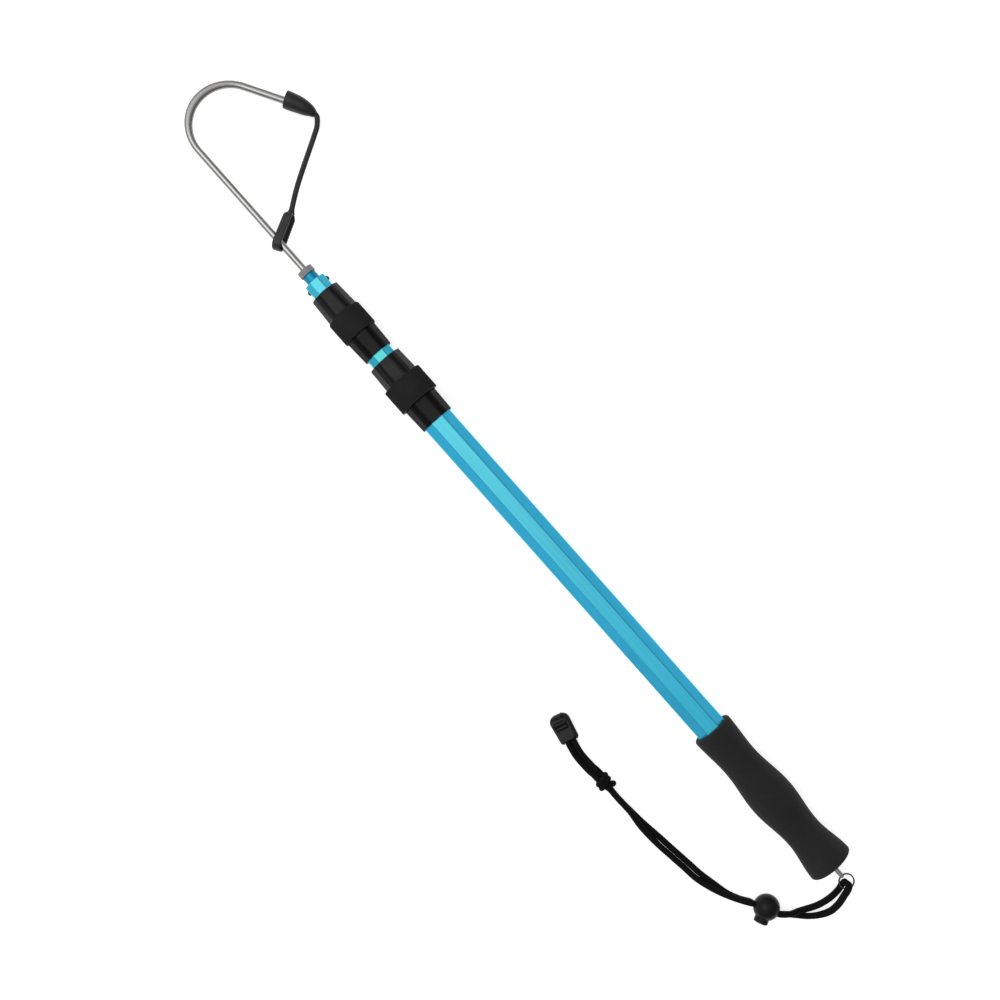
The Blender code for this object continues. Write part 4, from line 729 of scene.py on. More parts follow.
BIGHT_UNDER = (
    (-0.0166, 0.0009, -0.00015), (-0.0166, 0.00095, -0.0010), (-0.01695, 0.0019, -0.0025),
    (-0.0176, 0.0035, -0.0034), (-0.0176, 0.0046, -0.0037), (-0.0186, 0.0063, -0.0043)
)
BIGHT_OVER = (
    (-0.0166, 0.0009, 0.00015), (-0.01665, 0.00092, 0.0010), (-0.0174, 0.00090, 0.0025),
    (-0.0189, 0.00070, 0.0034), (-0.0199, 0.0013, 0.0036), (-0.02135, 0.0038, 0.0034)
)
STRAND_A_TO_LOCK = (
    (-0.0204, 0.0121, -0.0070), (-0.0215, 0.0197, -0.0107), (-0.0206, 0.0286, -0.0137),
    (-0.0175, 0.0366, -0.0147), (-0.0138, 0.0421, -0.0116), (-0.0101, 0.0482, -0.0080)
)
STRAND_B_TO_LOCK = (
    (-0.0238, 0.0088, 0.0005), (-0.0275, 0.0157, -0.0050), (-0.0296, 0.0237, -0.0110),
    (-0.0281, 0.0308, -0.0145), (-0.0240, 0.0377, -0.0157), (-0.0175, 0.0442, -0.0157),
    (-0.0119, 0.0486, -0.0138)
)
# The pair of strands from the cord lock to the knot: x, y, lift off the floor and twist in degrees
PAIR_TO_KNOT = (
    (0.0225, 0.0689, 0.0034, 90), (0.0311, 0.0737, 0.0008, 80), (0.0412, 0.0773, 0.0, 50),
    (0.0546, 0.0809, 0.0, 12), (0.0670, 0.0824, 0.0, 0), (0.0808, 0.0841, 0.0, 0), (0.0957, 0.0857, 0.0, 12),
    (0.1127, 0.0869, 0.0, 55), (0.1257, 0.0867, 0.0, 85), (0.1336, 0.0870, 0.0, 90),
    (0.1418, 0.0871, 0.0008, 90)
)
PAIR_TO_CLIP = ((0.1690, 0.0877, 0.0012, 0), (0.1760, 0.0880, 0.0, 0), (0.1832, 0.0878, 0.0, 0))


def turned_place(centre, turn, x, y):
    """A place given in a frame that is turned about Z, in the pole's frame."""
    return (
        centre[0] + x * cos(turn) - y * sin(turn),
        centre[1] + x * sin(turn) + y * cos(turn)
    )


def through_lock(side):
    """Route rows of one strand into and through the cord lock, side 1 for the upper strand."""
    wide = side * CORD_PAIR_SPACING / 2
    narrow = side * (CORD_PINCHED_RADIUS + GAP / 2)
    pinch = CORD_PINCHED_RADIUS / CORD_RADIUS
    rows = [(share * CORD_PINCH_START, narrow, pinch) for share in (-1.0, -0.6, 0.0, 0.6, 1.0)]
    rows.append((CORD_PINCH_START + CORD_PINCH_EASE, wide, 1.0))
    centre = (BALL_X, BALL_Y)
    return [
        (*turned_place(centre, BALL_TURN, along, CORD_HOLE_OFFSET), FLOOR + BALL_RADIUS + up, factor)
        for along, up, factor in rows
    ]


def pair_rows(route, side, spacing=CORD_PAIR_SPACING):
    """Route rows of one strand of a pair, from the pair's (x, y, lift, twist in degrees) points."""
    rows = []
    for i, (x, y, lift, twist) in enumerate(route):
        before, after = route[max(i - 1, 0)], route[min(i + 1, len(route) - 1)]
        heading = Vector((after[0] - before[0], after[1] - before[1])).normalized()
        twist = radians(twist)
        out = side * spacing / 2 * cos(twist)
        up = side * spacing / 2 * sin(twist)
        height = CORD_REST + CORD_PAIR_SPACING / 2 * abs(sin(twist)) + lift
        rows.append((x - heading.y * out, y + heading.x * out, height + up, 1.0))
    return rows


def cord(name, rows, body, fuller=0.0):
    """A braided cord along its route rows, fuller by a share up to the lock, with the points of its path."""
    rows = smooth_route(rows, CORD_SPACING)
    rows[:, 2] = np.maximum(rows[:, 2], CORD_REST)
    path = moved(rows[:, :3], POLE)
    # The cord is thinner where it turns tightly round the split ring, and fuller just after it
    run = lengths_along(path)
    drawn = np.ones(len(rows))
    if fuller:
        ending = np.clip((FULLER_END - run) / FULLER_EASE, 0.0, 1.0)
        drawn += fuller * np.clip(run / FULLER_START, 0.0, 1.0) * ending
        drawn -= DRAWN_SHARE * np.clip(1.0 - run / DRAWN_LENGTH, 0.0, 1.0)
    rings = braid(path, rows[:, 3] * drawn)
    rings[:, :, 2] = np.maximum(rings[:, :, 2], 0.00003)
    piece = solid(name, loft(rings), Matrix.Identity(4), 75.0)
    dress(piece, CORD, body, "cord", name.replace("lanyard_", "cord_"))
    return piece, path


def make_lanyard():
    knot_height = FLOOR + FLOOR_CLEARANCE + (KNOT_WRAP_RADIUS + KNOT_WRAP_THICKNESS) * KNOT_FLATNESS
    knot_lift = knot_height - CORD_REST
    reach = KNOT_HALF_LENGTH + GAP
    before_knot = (KNOT_X - reach, KNOT_Y, knot_lift - CORD_PAIR_SPACING / 2, 90)
    knot = make_knot((KNOT_X, KNOT_Y, knot_height))
    on_strands = [knot, *make_cord_lock()]
    for name, bight, strand, side, length, fuller in (
        ("lanyard_strand_a", BIGHT_UNDER, STRAND_A_TO_LOCK, 1, STRAND_A_LENGTH, 0.08),
        ("lanyard_strand_b", BIGHT_OVER, STRAND_B_TO_LOCK, -1, STRAND_B_LENGTH, 0.15)
    ):
        rows = [(*row, 1.0) for row in (*bight, *strand)]
        rows += through_lock(side)
        rows += pair_rows((*PAIR_TO_KNOT, before_knot), side)
        piece, path = cord(name, rows, None, fuller)
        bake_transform(piece)

    clip = make_clip()
    after_knot = (KNOT_X + reach + CORD_RADIUS / 2, KNOT_Y, knot_lift, 0)
    channel_lift = CLIP_FLOOR + GAP
    for name, side in (("lanyard_tail_a", 1), ("lanyard_tail_b", -1)):
        rows = pair_rows((after_knot, *PAIR_TO_CLIP), side, TAIL_SPACING)
        for along in (-CLIP_FLOOR - CORD_RADIUS, 0.0, CLIP_TROUGH_LENGTH - GAP):
            x, y = turned_place((CLIP_X, CLIP_Y), CLIP_TURN, along - CLIP_LENGTH / 2, side * TAIL_SPACING / 2)
            rows.append((x, y, CORD_REST + channel_lift, 1.0))
        piece, path = cord(name, rows, "handle")


def make_knot(centre):
    """An overhand knot drawn tight: two turns side by side, and one that bulges from under them."""
    squash = shift(*centre) @ Matrix.Diagonal((1.0, 1.0, KNOT_FLATNESS, 1.0))
    skins = []
    for along, across, radius, thickness, lean in (
        (-0.0013, 0.0002, 0.0045, 0.0021, 14.0), (0.0022, 0.0, 0.0044, 0.0022, 14.0),
        (-0.0046, -0.0023, 0.0026, 0.0021, -22.0)
    ):
        count = 90
        angles = 2 * pi * np.arange(count + 1) / count
        loop = np.stack([radius * np.cos(angles), radius * np.sin(angles), 0 * angles], -1)
        lay = 2 * pi * radius / 3
        place = squash @ shift(along, across, 0.0) @ spin("Z", radians(lean)) @ spin("Y", QUARTER)
        tube = braid(loop, np.ones(count + 1), thickness, 36, lay)
        tube[-1] = tube[0]
        skins.append((moved(tube, place), True))
    for side in (-1, 1):
        start, end = -KNOT_HALF_LENGTH - 0.0002, KNOT_HALF_LENGTH + 0.0013
        stations = np.linspace(start, end, 36)
        share = (stations - start) / (end - start)
        turn = pi / 2 * (1 - share)
        across, up = side * TAIL_SPACING / 2 * np.cos(turn), side * CORD_PAIR_SPACING / 2 * np.sin(turn)
        core = np.stack([stations, across, up], -1)
        skins.append((moved(braid(core, np.ones(36)), squash), False))
    points, faces = np.zeros((0, 3)), []
    for rings, closed in skins:
        more, joined = loft(rings[:-1] if closed else rings, closed)
        faces += [tuple(i + len(points) for i in face) for face in outwards(more, joined)]
        points = np.vstack([points, more])
    return dress(solid("lanyard_knot", (points, faces), POLE, 75.0), CORD, "handle", "cord", "cord_knot")


def slot_prism(name, width, height, length, place):
    """A prism with rounded corners along X, that wide along Y and high along Z."""
    corner = CORD_PINCHED_RADIUS + GAP
    angles = np.radians(np.arange(0.0, 360.0, 360.0 / 40)) + radians(4.5)
    y = np.sign(np.cos(angles)) * (width / 2 - corner) + corner * np.cos(angles)
    z = np.sign(np.sin(angles)) * (height / 2 - corner) + corner * np.sin(angles)
    rings = [np.stack([x * np.ones_like(y), y, z], -1) for x in (-length / 2, length / 2)]
    return solid(name, loft(rings), place)


def make_cord_lock():
    """The ball with its moulded seam, its sprung plunger and the spring."""
    axis = POLE @ shift(BALL_X, BALL_Y, FLOOR + BALL_RADIUS) @ spin("Z", BALL_TURN)
    along_plunger = axis @ spin("Z", QUARTER)
    slot_width = 2 * CORD_PINCHED_RADIUS + 2 * GAP
    slot_height = 4 * CORD_PINCHED_RADIUS + 3 * GAP
    bore_radius = PLUNGER_RADIUS + GAP
    shank_end = CORD_HOLE_OFFSET - slot_width / 2 - PLUNGER_END_WALL
    bore_end = shank_end - PLUNGER_TRAVEL - GAP
    spring_start = shank_end - GAP - SPRING_WIRE_RADIUS
    pocket_end = spring_start - SPRING_LENGTH - SPRING_WIRE_RADIUS - GAP
    pocket_radius = SPRING_RADIUS + SPRING_WIRE_RADIUS + GAP

    profile = []
    steps = 44
    mouth = acos((bore_radius + 0.0004) / BALL_RADIUS)
    for i in range(steps + 1):
        angle = mouth - (mouth + QUARTER) * i / steps
        swell = SEAM_HEIGHT * exp(-((angle / SEAM_SPREAD) ** 2))
        radius = BALL_RADIUS - SEAM_HEIGHT + swell
        profile.append((radius * sin(angle), radius * cos(angle)))
    profile[-1] = (-BALL_RADIUS + SEAM_HEIGHT, 0.0)
    profile += [(pocket_end, 0.0), (pocket_end, pocket_radius), (bore_end, pocket_radius)]
    top = profile[0][0]
    profile += [(bore_end, bore_radius), (top - 0.0002, bore_radius), (top + 0.0001, bore_radius + 0.0002)]
    barrel = solid("lock_ball", turned(profile, 96, True), along_plunger)
    place = axis @ shift(0.0, CORD_HOLE_OFFSET, 0.0)
    carve(barrel, [slot_prism("slot", slot_width, slot_height, 3 * BALL_RADIUS, place)])
    dress(barrel, GLOSS, "cord_lock", "gloss_plastic", "cord_lock_barrel")

    plunger_profile = rounded(
        [
            (PLUNGER_REACH - 0.0004, 0.0, 0.0), (PLUNGER_REACH - 0.0003, 0.0030, 0.0010),
            (PLUNGER_REACH, PLUNGER_RADIUS - 0.0009, 0.0004), (PLUNGER_REACH, PLUNGER_RADIUS, 0.0005),
            (shank_end, PLUNGER_RADIUS, 0.0002), (shank_end, 0.0, 0.0)
        ]
    )
    plunger = solid("lock_plunger", turned(plunger_profile, 80), along_plunger)
    window_place = axis @ shift(0.0, CORD_HOLE_OFFSET + PLUNGER_TRAVEL / 2, 0.0)
    window = slot_prism("window", slot_width + PLUNGER_TRAVEL, slot_height, 3 * BALL_RADIUS, window_place)
    carve(plunger, [window])
    dress(plunger, GLOSS, "plunger", "gloss_plastic", "cord_lock_plunger")

    count = round(SPRING_TURNS * 40)
    turns = np.arange(count + 1) / count
    angles = 2 * pi * SPRING_TURNS * turns
    x, z = SPRING_RADIUS * np.cos(angles), SPRING_RADIUS * np.sin(angles)
    wire = np.stack([x, spring_start - SPRING_LENGTH * turns, z], -1)
    spring = solid("lock_spring", loft(sweep(wire, SPRING_WIRE_RADIUS * circle(12))), axis)
    dress(spring, STEEL, "cord_lock", "plated_steel", "cord_lock_spring")
    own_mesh(spring)
    return [barrel, plunger, spring]


def make_clip():
    """The end clip: a tray with a trough for the two tails, and a ribbed cover on a hinge pin."""
    clip = POLE @ shift(CLIP_X, CLIP_Y, FLOOR) @ spin("Z", CLIP_TURN)
    half = CLIP_LENGTH / 2
    low, high = (-half, -CLIP_WIDTH / 2, 0.0), (half, CLIP_WIDTH / 2, CLIP_BASE_HEIGHT)
    base = plate("clip_tray", low, high, CLIP_MOUTH_CORNER, CLIP_HINGE_CORNER, CLIP_EDGE, clip, CLIP_FLARE)
    trough_half = CORD_PAIR_SPACING / 2 + CORD_RADIUS + GAP
    high = (-half + CLIP_TROUGH_LENGTH, trough_half, 2 * CLIP_BASE_HEIGHT)
    trough = block("trough", (-2 * half, -trough_half, CLIP_FLOOR), high, clip)
    pin_x = half - CLIP_PIN_FROM_END
    pin_z = CLIP_BASE_HEIGHT + GAP + COVER_THICKNESS / 2
    knuckle_half = KNUCKLE_WIDTH / 2
    ear_half = knuckle_half + GAP + CLIP_EAR_WIDTH
    across = shift(pin_x, 0.0, pin_z) @ spin("Z", QUARTER)
    ears = []
    for side in (1, -1):
        near, far = sorted((side * (knuckle_half + GAP), side * ear_half))
        low, high = (pin_x - CLIP_EAR_REACH, near, CLIP_BASE_HEIGHT / 2), (pin_x + CLIP_EAR_REACH, far, pin_z)
        ears.append(rod(f"ear_{side}", CLIP_EAR_REACH, near, far, clip @ across))
        ears.append(block(f"ear_foot_{side}", low, high, clip))
    relief_radius = KNUCKLE_RADIUS + GAP
    low = (pin_x - relief_radius - GAP, -knuckle_half - GAP, pin_z - relief_radius)
    relief = block("relief", low, (2 * half, knuckle_half + GAP, 2 * CLIP_BASE_HEIGHT), clip)
    notches = []
    for i in range(3):
        low = (-0.0030 + i * NOTCH_PITCH, -CLIP_WIDTH, NOTCH_INSET)
        high = (-0.0018 + i * NOTCH_PITCH, -CLIP_WIDTH / 2 + NOTCH_DEPTH, CLIP_BASE_HEIGHT - NOTCH_INSET)
        notches.append(block(f"notch_{i}", low, high, clip))
    bore = rod("bore", CLIP_PIN_RADIUS + GAP, -CLIP_WIDTH, CLIP_WIDTH, clip @ across)
    carve(base, [trough, relief, bore, *notches], ears, 0.00022, 2)
    dress(base, TRAY, "handle", "gloss_plastic", "clip_base")

    pin_profile = rounded(
        [
            (-ear_half, 0.0, 0.0), (-ear_half, CLIP_PIN_RADIUS, 0.00025),
            (ear_half, CLIP_PIN_RADIUS, 0.00025), (ear_half, 0.0, 0.0)
        ]
    )
    pin = solid("clip_hinge_pin", turned(pin_profile, 32), clip @ across)
    dress(pin, DARK_STEEL, "handle", "plated_steel", "clip_pin")

    hinge = clip @ shift(pin_x, 0.0, pin_z)
    cover_end = -CLIP_EAR_REACH - 3 * GAP
    side_low = COVER_SIDE_SHIFT - COVER_WIDTH / 2
    low = (cover_end - COVER_LENGTH, side_low, -COVER_THICKNESS / 2)
    high = (cover_end, side_low + COVER_WIDTH, COVER_THICKNESS / 2)
    corners = (COVER_MOUTH_CORNER, COVER_HINGE_CORNER)
    cover = plate("clip_lid", low, high, *corners, COVER_EDGE, hinge, CLIP_FLARE)
    # A sunk panel behind the hinge's rim, deeper towards the mouth, with the ribs standing in it
    low = (-COVER_RIBS * RIB_PITCH - RIB_WIDTH / 2 + PANEL_RIM - 0.0014, side_low + PANEL_INSET, 0.0)
    high = (0.0, side_low + COVER_WIDTH - PANEL_INSET, 2 * COVER_THICKNESS)
    corners = (PANEL_CORNER, COVER_HINGE_CORNER - 0.0012)
    place = hinge @ shift(cover_end - PANEL_RIM, 0.0, COVER_THICKNESS / 2 - PANEL_DEPTH)
    place = place @ spin("Y", PANEL_SLOPE)
    carve(cover, [plate("panel", low, high, *corners, PANEL_EDGE, place, CLIP_FLARE)])
    low = (cover_end - COVER_NECK, -knuckle_half, -COVER_THICKNESS / 4)
    neck = block("neck", low, (0.0, knuckle_half, COVER_THICKNESS / 4), hinge)
    knuckle = rod("knuckle", KNUCKLE_RADIUS, -knuckle_half, knuckle_half, hinge @ spin("Z", QUARTER), 48)
    ribs = []
    for i in range(COVER_RIBS):
        x = cover_end - (i + 1) * RIB_PITCH
        low = (x - RIB_WIDTH / 2, side_low + RIB_INSET + 0.0008, -0.0006)
        high = (x + RIB_WIDTH / 2, side_low + COVER_WIDTH - RIB_INSET, COVER_THICKNESS / 2 + RIB_HEIGHT)
        ribs.append(block(f"rib_{i}", low, high, hinge, 0.0005, 4))
    bore = rod("bore", CLIP_PIN_RADIUS + GAP, -CLIP_WIDTH, CLIP_WIDTH, clip @ across)
    carve(cover, [bore], [neck, knuckle, *ribs])
    dress(cover, LID, "clip_cover", "gloss_plastic", "clip_cover")
    return [base, pin, cover]


# Pole


def grip_radius(station):
    """The grip's radius at a station: two waists and a swell, joined by half waves."""
    for low, high, first, last in zip(GRIP_STATIONS, GRIP_STATIONS[1:], GRIP_RADII, GRIP_RADII[1:]):
        if station <= high:
            share = (1 - cos(pi * (station - low) / (high - low))) / 2
            return first + (last - first) * share
    return GRIP_RADII[-1]


def make_grip():
    angles = round_angles(160)
    turn = [
        (GRIP_EDGE * (1 - cos(QUARTER * i / 8)), GRIP_EDGE * (1 - sin(QUARTER * i / 8)))
        for i in range(9)
    ]
    rows = [(along, GRIP_RADII[0] - inset) for along, inset in turn]
    rows += [(at, grip_radius(at)) for at in np.linspace(GRIP_EDGE, GRIP_LENGTH - GRIP_EDGE, 121)[1:-1]]
    rows += [(GRIP_LENGTH - inset, GRIP_RADII[-1] - along) for along, inset in turn]
    bore, edge = octagon_radius(angles, MAIN_ACROSS + GAP, CORNER_RADIUS), 0.0004
    rows += [(GRIP_LENGTH, bore + edge), (GRIP_LENGTH - edge, bore), (edge, bore), (0.0, bore + edge)]
    dress(solid("foam_grip", loft(rings_at(angles, *rows), True)), FOAM, "handle", "foam", "grip")


def make_tubes():
    for name, across, wall, start, end, body, finish in (
        ("main_tube", MAIN_ACROSS, MAIN_WALL, MAIN_START, MAIN_END, "handle", MAIN_BLUE),
        ("middle_tube", MIDDLE_ACROSS, MIDDLE_WALL, MIDDLE_START, MIDDLE_END, "middle_section", MIDDLE_BLUE),
        ("tip_tube", TIP_ACROSS, TIP_WALL, TIP_START, TIP_END, "tip_section", TIP_BLUE)
    ):
        angles = octagon_angles(across)
        outer = octagon_radius(angles, across)
        inner = octagon_radius(angles, across - 2 * wall, TUBE_INNER_CORNER)
        edge = TUBE_EDGE
        rows = [(start, outer - edge), (start + edge, outer), (end - edge, outer), (end, outer - edge)]
        rows += [(end, inner + edge), (end - edge, inner), (start + edge, inner), (start, inner + edge)]
        tube = solid(name + "_shell", loft(rings_at(angles, *rows), True), sharp=30.0)
        dress(tube, finish, body, "anodised_blue", name)


def soft_least(a, b, blend):
    """The lesser of two, with the corner between them rounded over a blend length."""
    h = np.clip(0.5 + 0.5 * (b - a) / blend, 0.0, 1.0)
    return b * (1 - h) + a * h - blend * h * (1 - h)


def fluted(radius, depth, angles):
    """Radii of a round section with flutes cut in it, a land between two at the top and the bottom."""
    centre = radius - depth + FLUTE_RADIUS
    step = 2 * pi / FLUTES
    first_flute = QUARTER + step / 2
    off = (angles - first_flute + step / 2) % step - step / 2
    inside = FLUTE_RADIUS**2 - (centre * np.sin(off)) ** 2
    cut = np.where(inside > 0, centre * np.cos(off) - np.sqrt(np.maximum(inside, 0.0)), radius + 0.01)
    on_land = (angles - QUARTER + step / 2) % step - step / 2
    land = soft_least(radius * LAND_FLATNESS / np.cos(on_land), radius * np.ones_like(angles), 0.0002)
    return soft_least(cut, land, 0.00025)


def knurled(station, start, end, radius, chamfer, angles, count):
    """Radii of the knurled ring at a station, its diamonds faded out at the chamfers."""
    from_end = min(station - start, end - station)
    eased = min(1.0, max(0.0, (from_end - chamfer * 0.6) / 0.0006))
    u = count * angles / (2 * pi)
    v = (station - start) / KNURL_PITCH
    valley = np.minimum(np.abs((u + v) % 1.0 - 0.5), np.abs((u - v) % 1.0 - 0.5)) / 0.25
    groove = 1.0 - np.minimum(valley, 1.0)
    rounding = min(1.0, from_end / chamfer)
    corner = chamfer * (1 - sqrt(max(0.0, 1 - (1 - rounding) ** 2)))
    return radius - corner - KNURL_DEPTH * eased * groove


def make_lock(
    prefix, body, nut_body, tube_across, tube_end, inner_across, body_length, shoulder, body_end_radius,
    body_radius, neck_radius, neck_length, ring_radius, ring_length, chamfer, nut_radius, nut_end_radius,
    nut_length, body_depth, nut_depth
):
    """A twist lock: its fluted body with the threaded neck, and its nut with a knurled ring."""
    body_start = tube_end - (body_length - shoulder)
    body_top = body_start + body_length
    neck_top = body_top + neck_length
    nut_start = body_top + GAP
    ring_top = nut_start + ring_length
    nut_top = ring_top + nut_length
    angles = round_angles(288)
    edge = 0.0005
    throat = octagon_radius(angles, inner_across + 2 * GAP, CORNER_RADIUS + GAP)
    socket = octagon_radius(angles, tube_across + 2 * GAP * 0.4, CORNER_RADIUS)

    def taper(station, low, low_radius, low_depth, high, high_radius, high_depth, round_low, round_high):
        share = (station - low) / (high - low)
        radius = low_radius + (high_radius - low_radius) * share
        depth = low_depth + (high_depth - low_depth) * share
        for distance, rounded_end in ((station - low, round_low), (high - station, round_high)):
            if rounded_end and distance < edge:
                radius -= edge - sqrt(edge**2 - (edge - distance) ** 2)
        return fluted(radius, depth, angles)

    end_steps = [edge * (1 - cos(QUARTER * i / 5)) for i in range(6)]
    low_end, high_end = (body_start, body_end_radius, body_depth), (body_top, body_radius, FLUTE_RING_DEPTH)
    stations = [body_start + step for step in end_steps]
    stations += list(np.linspace(body_start + edge, body_top - edge, 24)[1:])
    stations += [body_top - step for step in reversed(end_steps[:-1])]
    rows = [(station, taper(station, *low_end, *high_end, True, True)) for station in stations]
    root, crest, pitch = neck_radius - THREAD_DEPTH, neck_radius, THREAD_PITCH
    rows.append((body_top, root))
    for i in range(int((neck_length - 0.0012) / pitch * 8)):
        station = body_top + 0.0004 + i * pitch / 8
        wave = 0.5 + 0.5 * np.sin(2 * pi * station / pitch - angles)
        rows.append((station, root + (crest - root) * np.clip(wave * 1.5 - 0.25, 0, 1)))
    rows += [(neck_top - 0.0004, root), (neck_top, root - 0.0003), (neck_top, throat)]
    rows += [(tube_end + GAP, throat), (tube_end + GAP, socket)]
    rows += [(body_start + 0.0003, socket), (body_start, socket + 0.0003)]
    piece = solid(prefix + "_body", loft(rings_at(angles, *rows), True), sharp=50.0)
    dress(piece, PLASTIC, body, "black_plastic", prefix + "_lock_body")

    count = round(2 * pi * ring_radius / KNURL_PITCH)
    angles = round_angles(4 * count)
    corner_reach = (inner_across / 2 + GAP) / cos(EIGHTH / 2)
    mouth = corner_reach + 0.0005
    collet_radius = corner_reach + 0.0015 - CORNER_RADIUS / 10
    collet_start = neck_top + GAP
    chamber_top = collet_start + COLLET_LENGTH + GAP
    bore = neck_radius + 0.00035
    rows = [(nut_start, ring_radius - chamfer)]
    steps = round(ring_length / (KNURL_PITCH / 4))
    for i in range(1, steps):
        station = nut_start + ring_length * i / steps
        rows.append((station, knurled(station, nut_start, ring_top, ring_radius, chamfer, angles, count)))
    rows.append((ring_top, ring_radius - chamfer))
    low_end, high_end = (ring_top, nut_radius, FLUTE_RING_DEPTH), (nut_top, nut_end_radius, nut_depth)
    stations = [ring_top + 0.0001, ring_top + 0.0006]
    stations += list(np.linspace(ring_top + 0.001, nut_top - edge, 24))
    stations += [nut_top - step for step in reversed(end_steps[:-1])]
    fillets = [0.0005, 0.00012] + [0.0] * (len(stations) - 2)
    for station, fillet in zip(stations, fillets):
        rows.append((station, taper(station, *low_end, *high_end, False, True) + fillet))
    rows += [(nut_top, mouth + 0.0004), (nut_top - 0.0004, mouth), (chamber_top, mouth)]
    rows += [(chamber_top, collet_radius - 0.0006 + GAP), (collet_start + 2 * GAP, collet_radius + GAP)]
    rows += [(collet_start + 2 * GAP, bore), (nut_start + 0.0004, bore), (nut_start, bore + 0.0004)]
    piece = solid(prefix + "_nut", loft(rings_at(angles, *rows), True), sharp=50.0)
    dress(piece, NUT_PLASTICS[prefix], nut_body, "black_plastic", prefix + "_lock_nut")


def make_locks():
    make_lock(
        "lower", "handle", "lower_nut", MAIN_ACROSS, MAIN_END, MIDDLE_ACROSS,
        body_length=0.0194, shoulder=0.0002, body_end_radius=0.0137, body_radius=0.0142, neck_radius=0.0131,
        neck_length=0.0196, ring_radius=0.0165, ring_length=0.0207, chamfer=0.0005, nut_radius=0.0143,
        nut_end_radius=0.0137, nut_length=0.0189, body_depth=0.0010, nut_depth=0.0016
    )
    make_lock(
        "upper", "middle_section", "upper_nut", MIDDLE_ACROSS, MIDDLE_END, TIP_ACROSS,
        body_length=0.0190, shoulder=0.0007, body_end_radius=0.0122, body_radius=0.0129, neck_radius=0.0119,
        neck_length=0.0190, ring_radius=0.0141, ring_length=0.0201, chamfer=0.0013, nut_radius=0.01295,
        nut_end_radius=0.0120, nut_length=0.0208, body_depth=0.0011, nut_depth=0.0015
    )


def make_butt():
    dome = PIN_RADIUS * 0.5
    profile = [(PIN_END, 0.0), (PIN_END, PIN_RADIUS - GAP), (PIN_END - GAP, PIN_RADIUS)]
    for i in range(11):
        angle = QUARTER * i / 10
        profile.append((-PIN_REACH + dome * (1 - sin(angle)), PIN_RADIUS * cos(angle)))
    pin = solid("ring_pin", turned(profile, 48))
    sag = RING_RADIUS - sqrt(RING_RADIUS**2 - PIN_RADIUS**2)
    hole_place = POLE @ shift(RING_HOLE_STATION - sag / 2) @ spin("Z", QUARTER)
    stations = (-0.004, -0.0013, 0.0013, 0.004)
    hole_profile = [(x, RING_HOLE_RADIUS + max(0.0, abs(x) - 0.0013) * 0.6) for x in stations]
    carve(pin, [solid("ring_hole", turned(hole_profile, 40), hole_place)])
    dress(pin, STEEL, "handle", "plated_steel", "butt_pin")

    steps = round(RING_TURNS * 60)
    turn = RING_TURNS * np.arange(steps + 1) / steps
    angles = RING_START + 2 * pi * turn
    height = RING_PITCH * (turn - RING_TURNS / 2)
    path = np.stack([RING_RADIUS * (np.cos(angles) - 1), RING_RADIUS * np.sin(angles), height], -1)
    section = squarish(RING_WIRE_HEIGHT, RING_WIRE, 3.2, 20)
    ring = solid("split_key_ring", loft(sweep(path, section, side=UP)), POLE @ shift(RING_HOLE_STATION))
    dress(ring, DARK_STEEL, "ring", "plated_steel", "split_ring")


def make_hook_seat():
    plug_radius = TIP_ACROSS / 2 - TIP_WALL - GAP
    bore_radius = WIRE_RADIUS + GAP
    profile = rounded(
        [
            (SEAT_TOP, bore_radius, 0.0), (SEAT_TOP, SEAT_NECK_RADIUS, 0.0005),
            (TIP_END + 0.0001, SEAT_NECK_RADIUS, 0.0004), (TIP_END + 0.0001, plug_radius + 0.0002, 0.0001),
            (TIP_END - SEAT_DEPTH, plug_radius, 0.0004), (TIP_END - SEAT_DEPTH, 0.0001, 0.0),
            (SHANK_START - GAP, 0.0001, 0.0), (SHANK_START - GAP, bore_radius, 0.0)
        ]
    )
    dress(solid("hook_plug", turned(profile, 72, True)), SEAT_BLUE, "tip_section", "seat_blue", "hook_seat")

    head_start = TIP_ACROSS / 2 - 0.00005
    half = [(head_start, RIVET_RADIUS), (head_start, RIVET_HEAD_RADIUS - 0.0001)]
    for i in range(9):
        angle = QUARTER * i / 8
        station = head_start + 0.0002 + (RIVET_HEAD_HEIGHT + GAP) * sin(angle)
        half.append((station, RIVET_HEAD_RADIUS * cos(angle)))
    profile = [(-x, r) for x, r in reversed(half)] + half
    place = POLE @ shift(TIP_END - RIVET_FROM_END) @ spin("Z", QUARTER)
    rivet = solid("hook_rivet", turned(profile, 40), place)
    dress(rivet, DARK_STEEL, "tip_section", "plated_steel", "seat_rivet")

    start = SEAT_TOP + GAP / 2
    end = SEAT_TOP + GAP + COLLAR_LENGTH
    rows = [(end, bore_radius, 0.0), (end, COLLAR_RADIUS, 0.0004), (start, COLLAR_RADIUS, 0.0003)]
    profile = rounded([*rows, (start, bore_radius, 0.0)], 6)
    collar = solid("shank_collar", turned([(end, bore_radius), *profile[1:]], 72, True))
    dress(collar, GREY, "tip_section", "grey_plastic", "hook_collar")


# Hook and guard, in the hook's plane: X along the shank, the bend towards -Y


def hook_point(distance):
    """The place and heading of the hook's wire past the bend, at a distance from the bend's end."""
    sine, cosine = sin(BEND_ANGLE), cos(BEND_ANGLE)
    bend_end = np.array((BEND_START + BEND_RADIUS * sine, -BEND_RADIUS * (1 - cosine), 0.0))
    heading = np.array((cosine, -sine, 0.0))
    return bend_end + heading * distance, heading


def cap_frame():
    """The middle of the cap's mouth, the point's heading and the direction across it to the shank."""
    mouth, heading = hook_point(POINT_LENGTH - CAP_COVER)
    return mouth, heading, np.array((heading[1], -heading[0], 0.0))


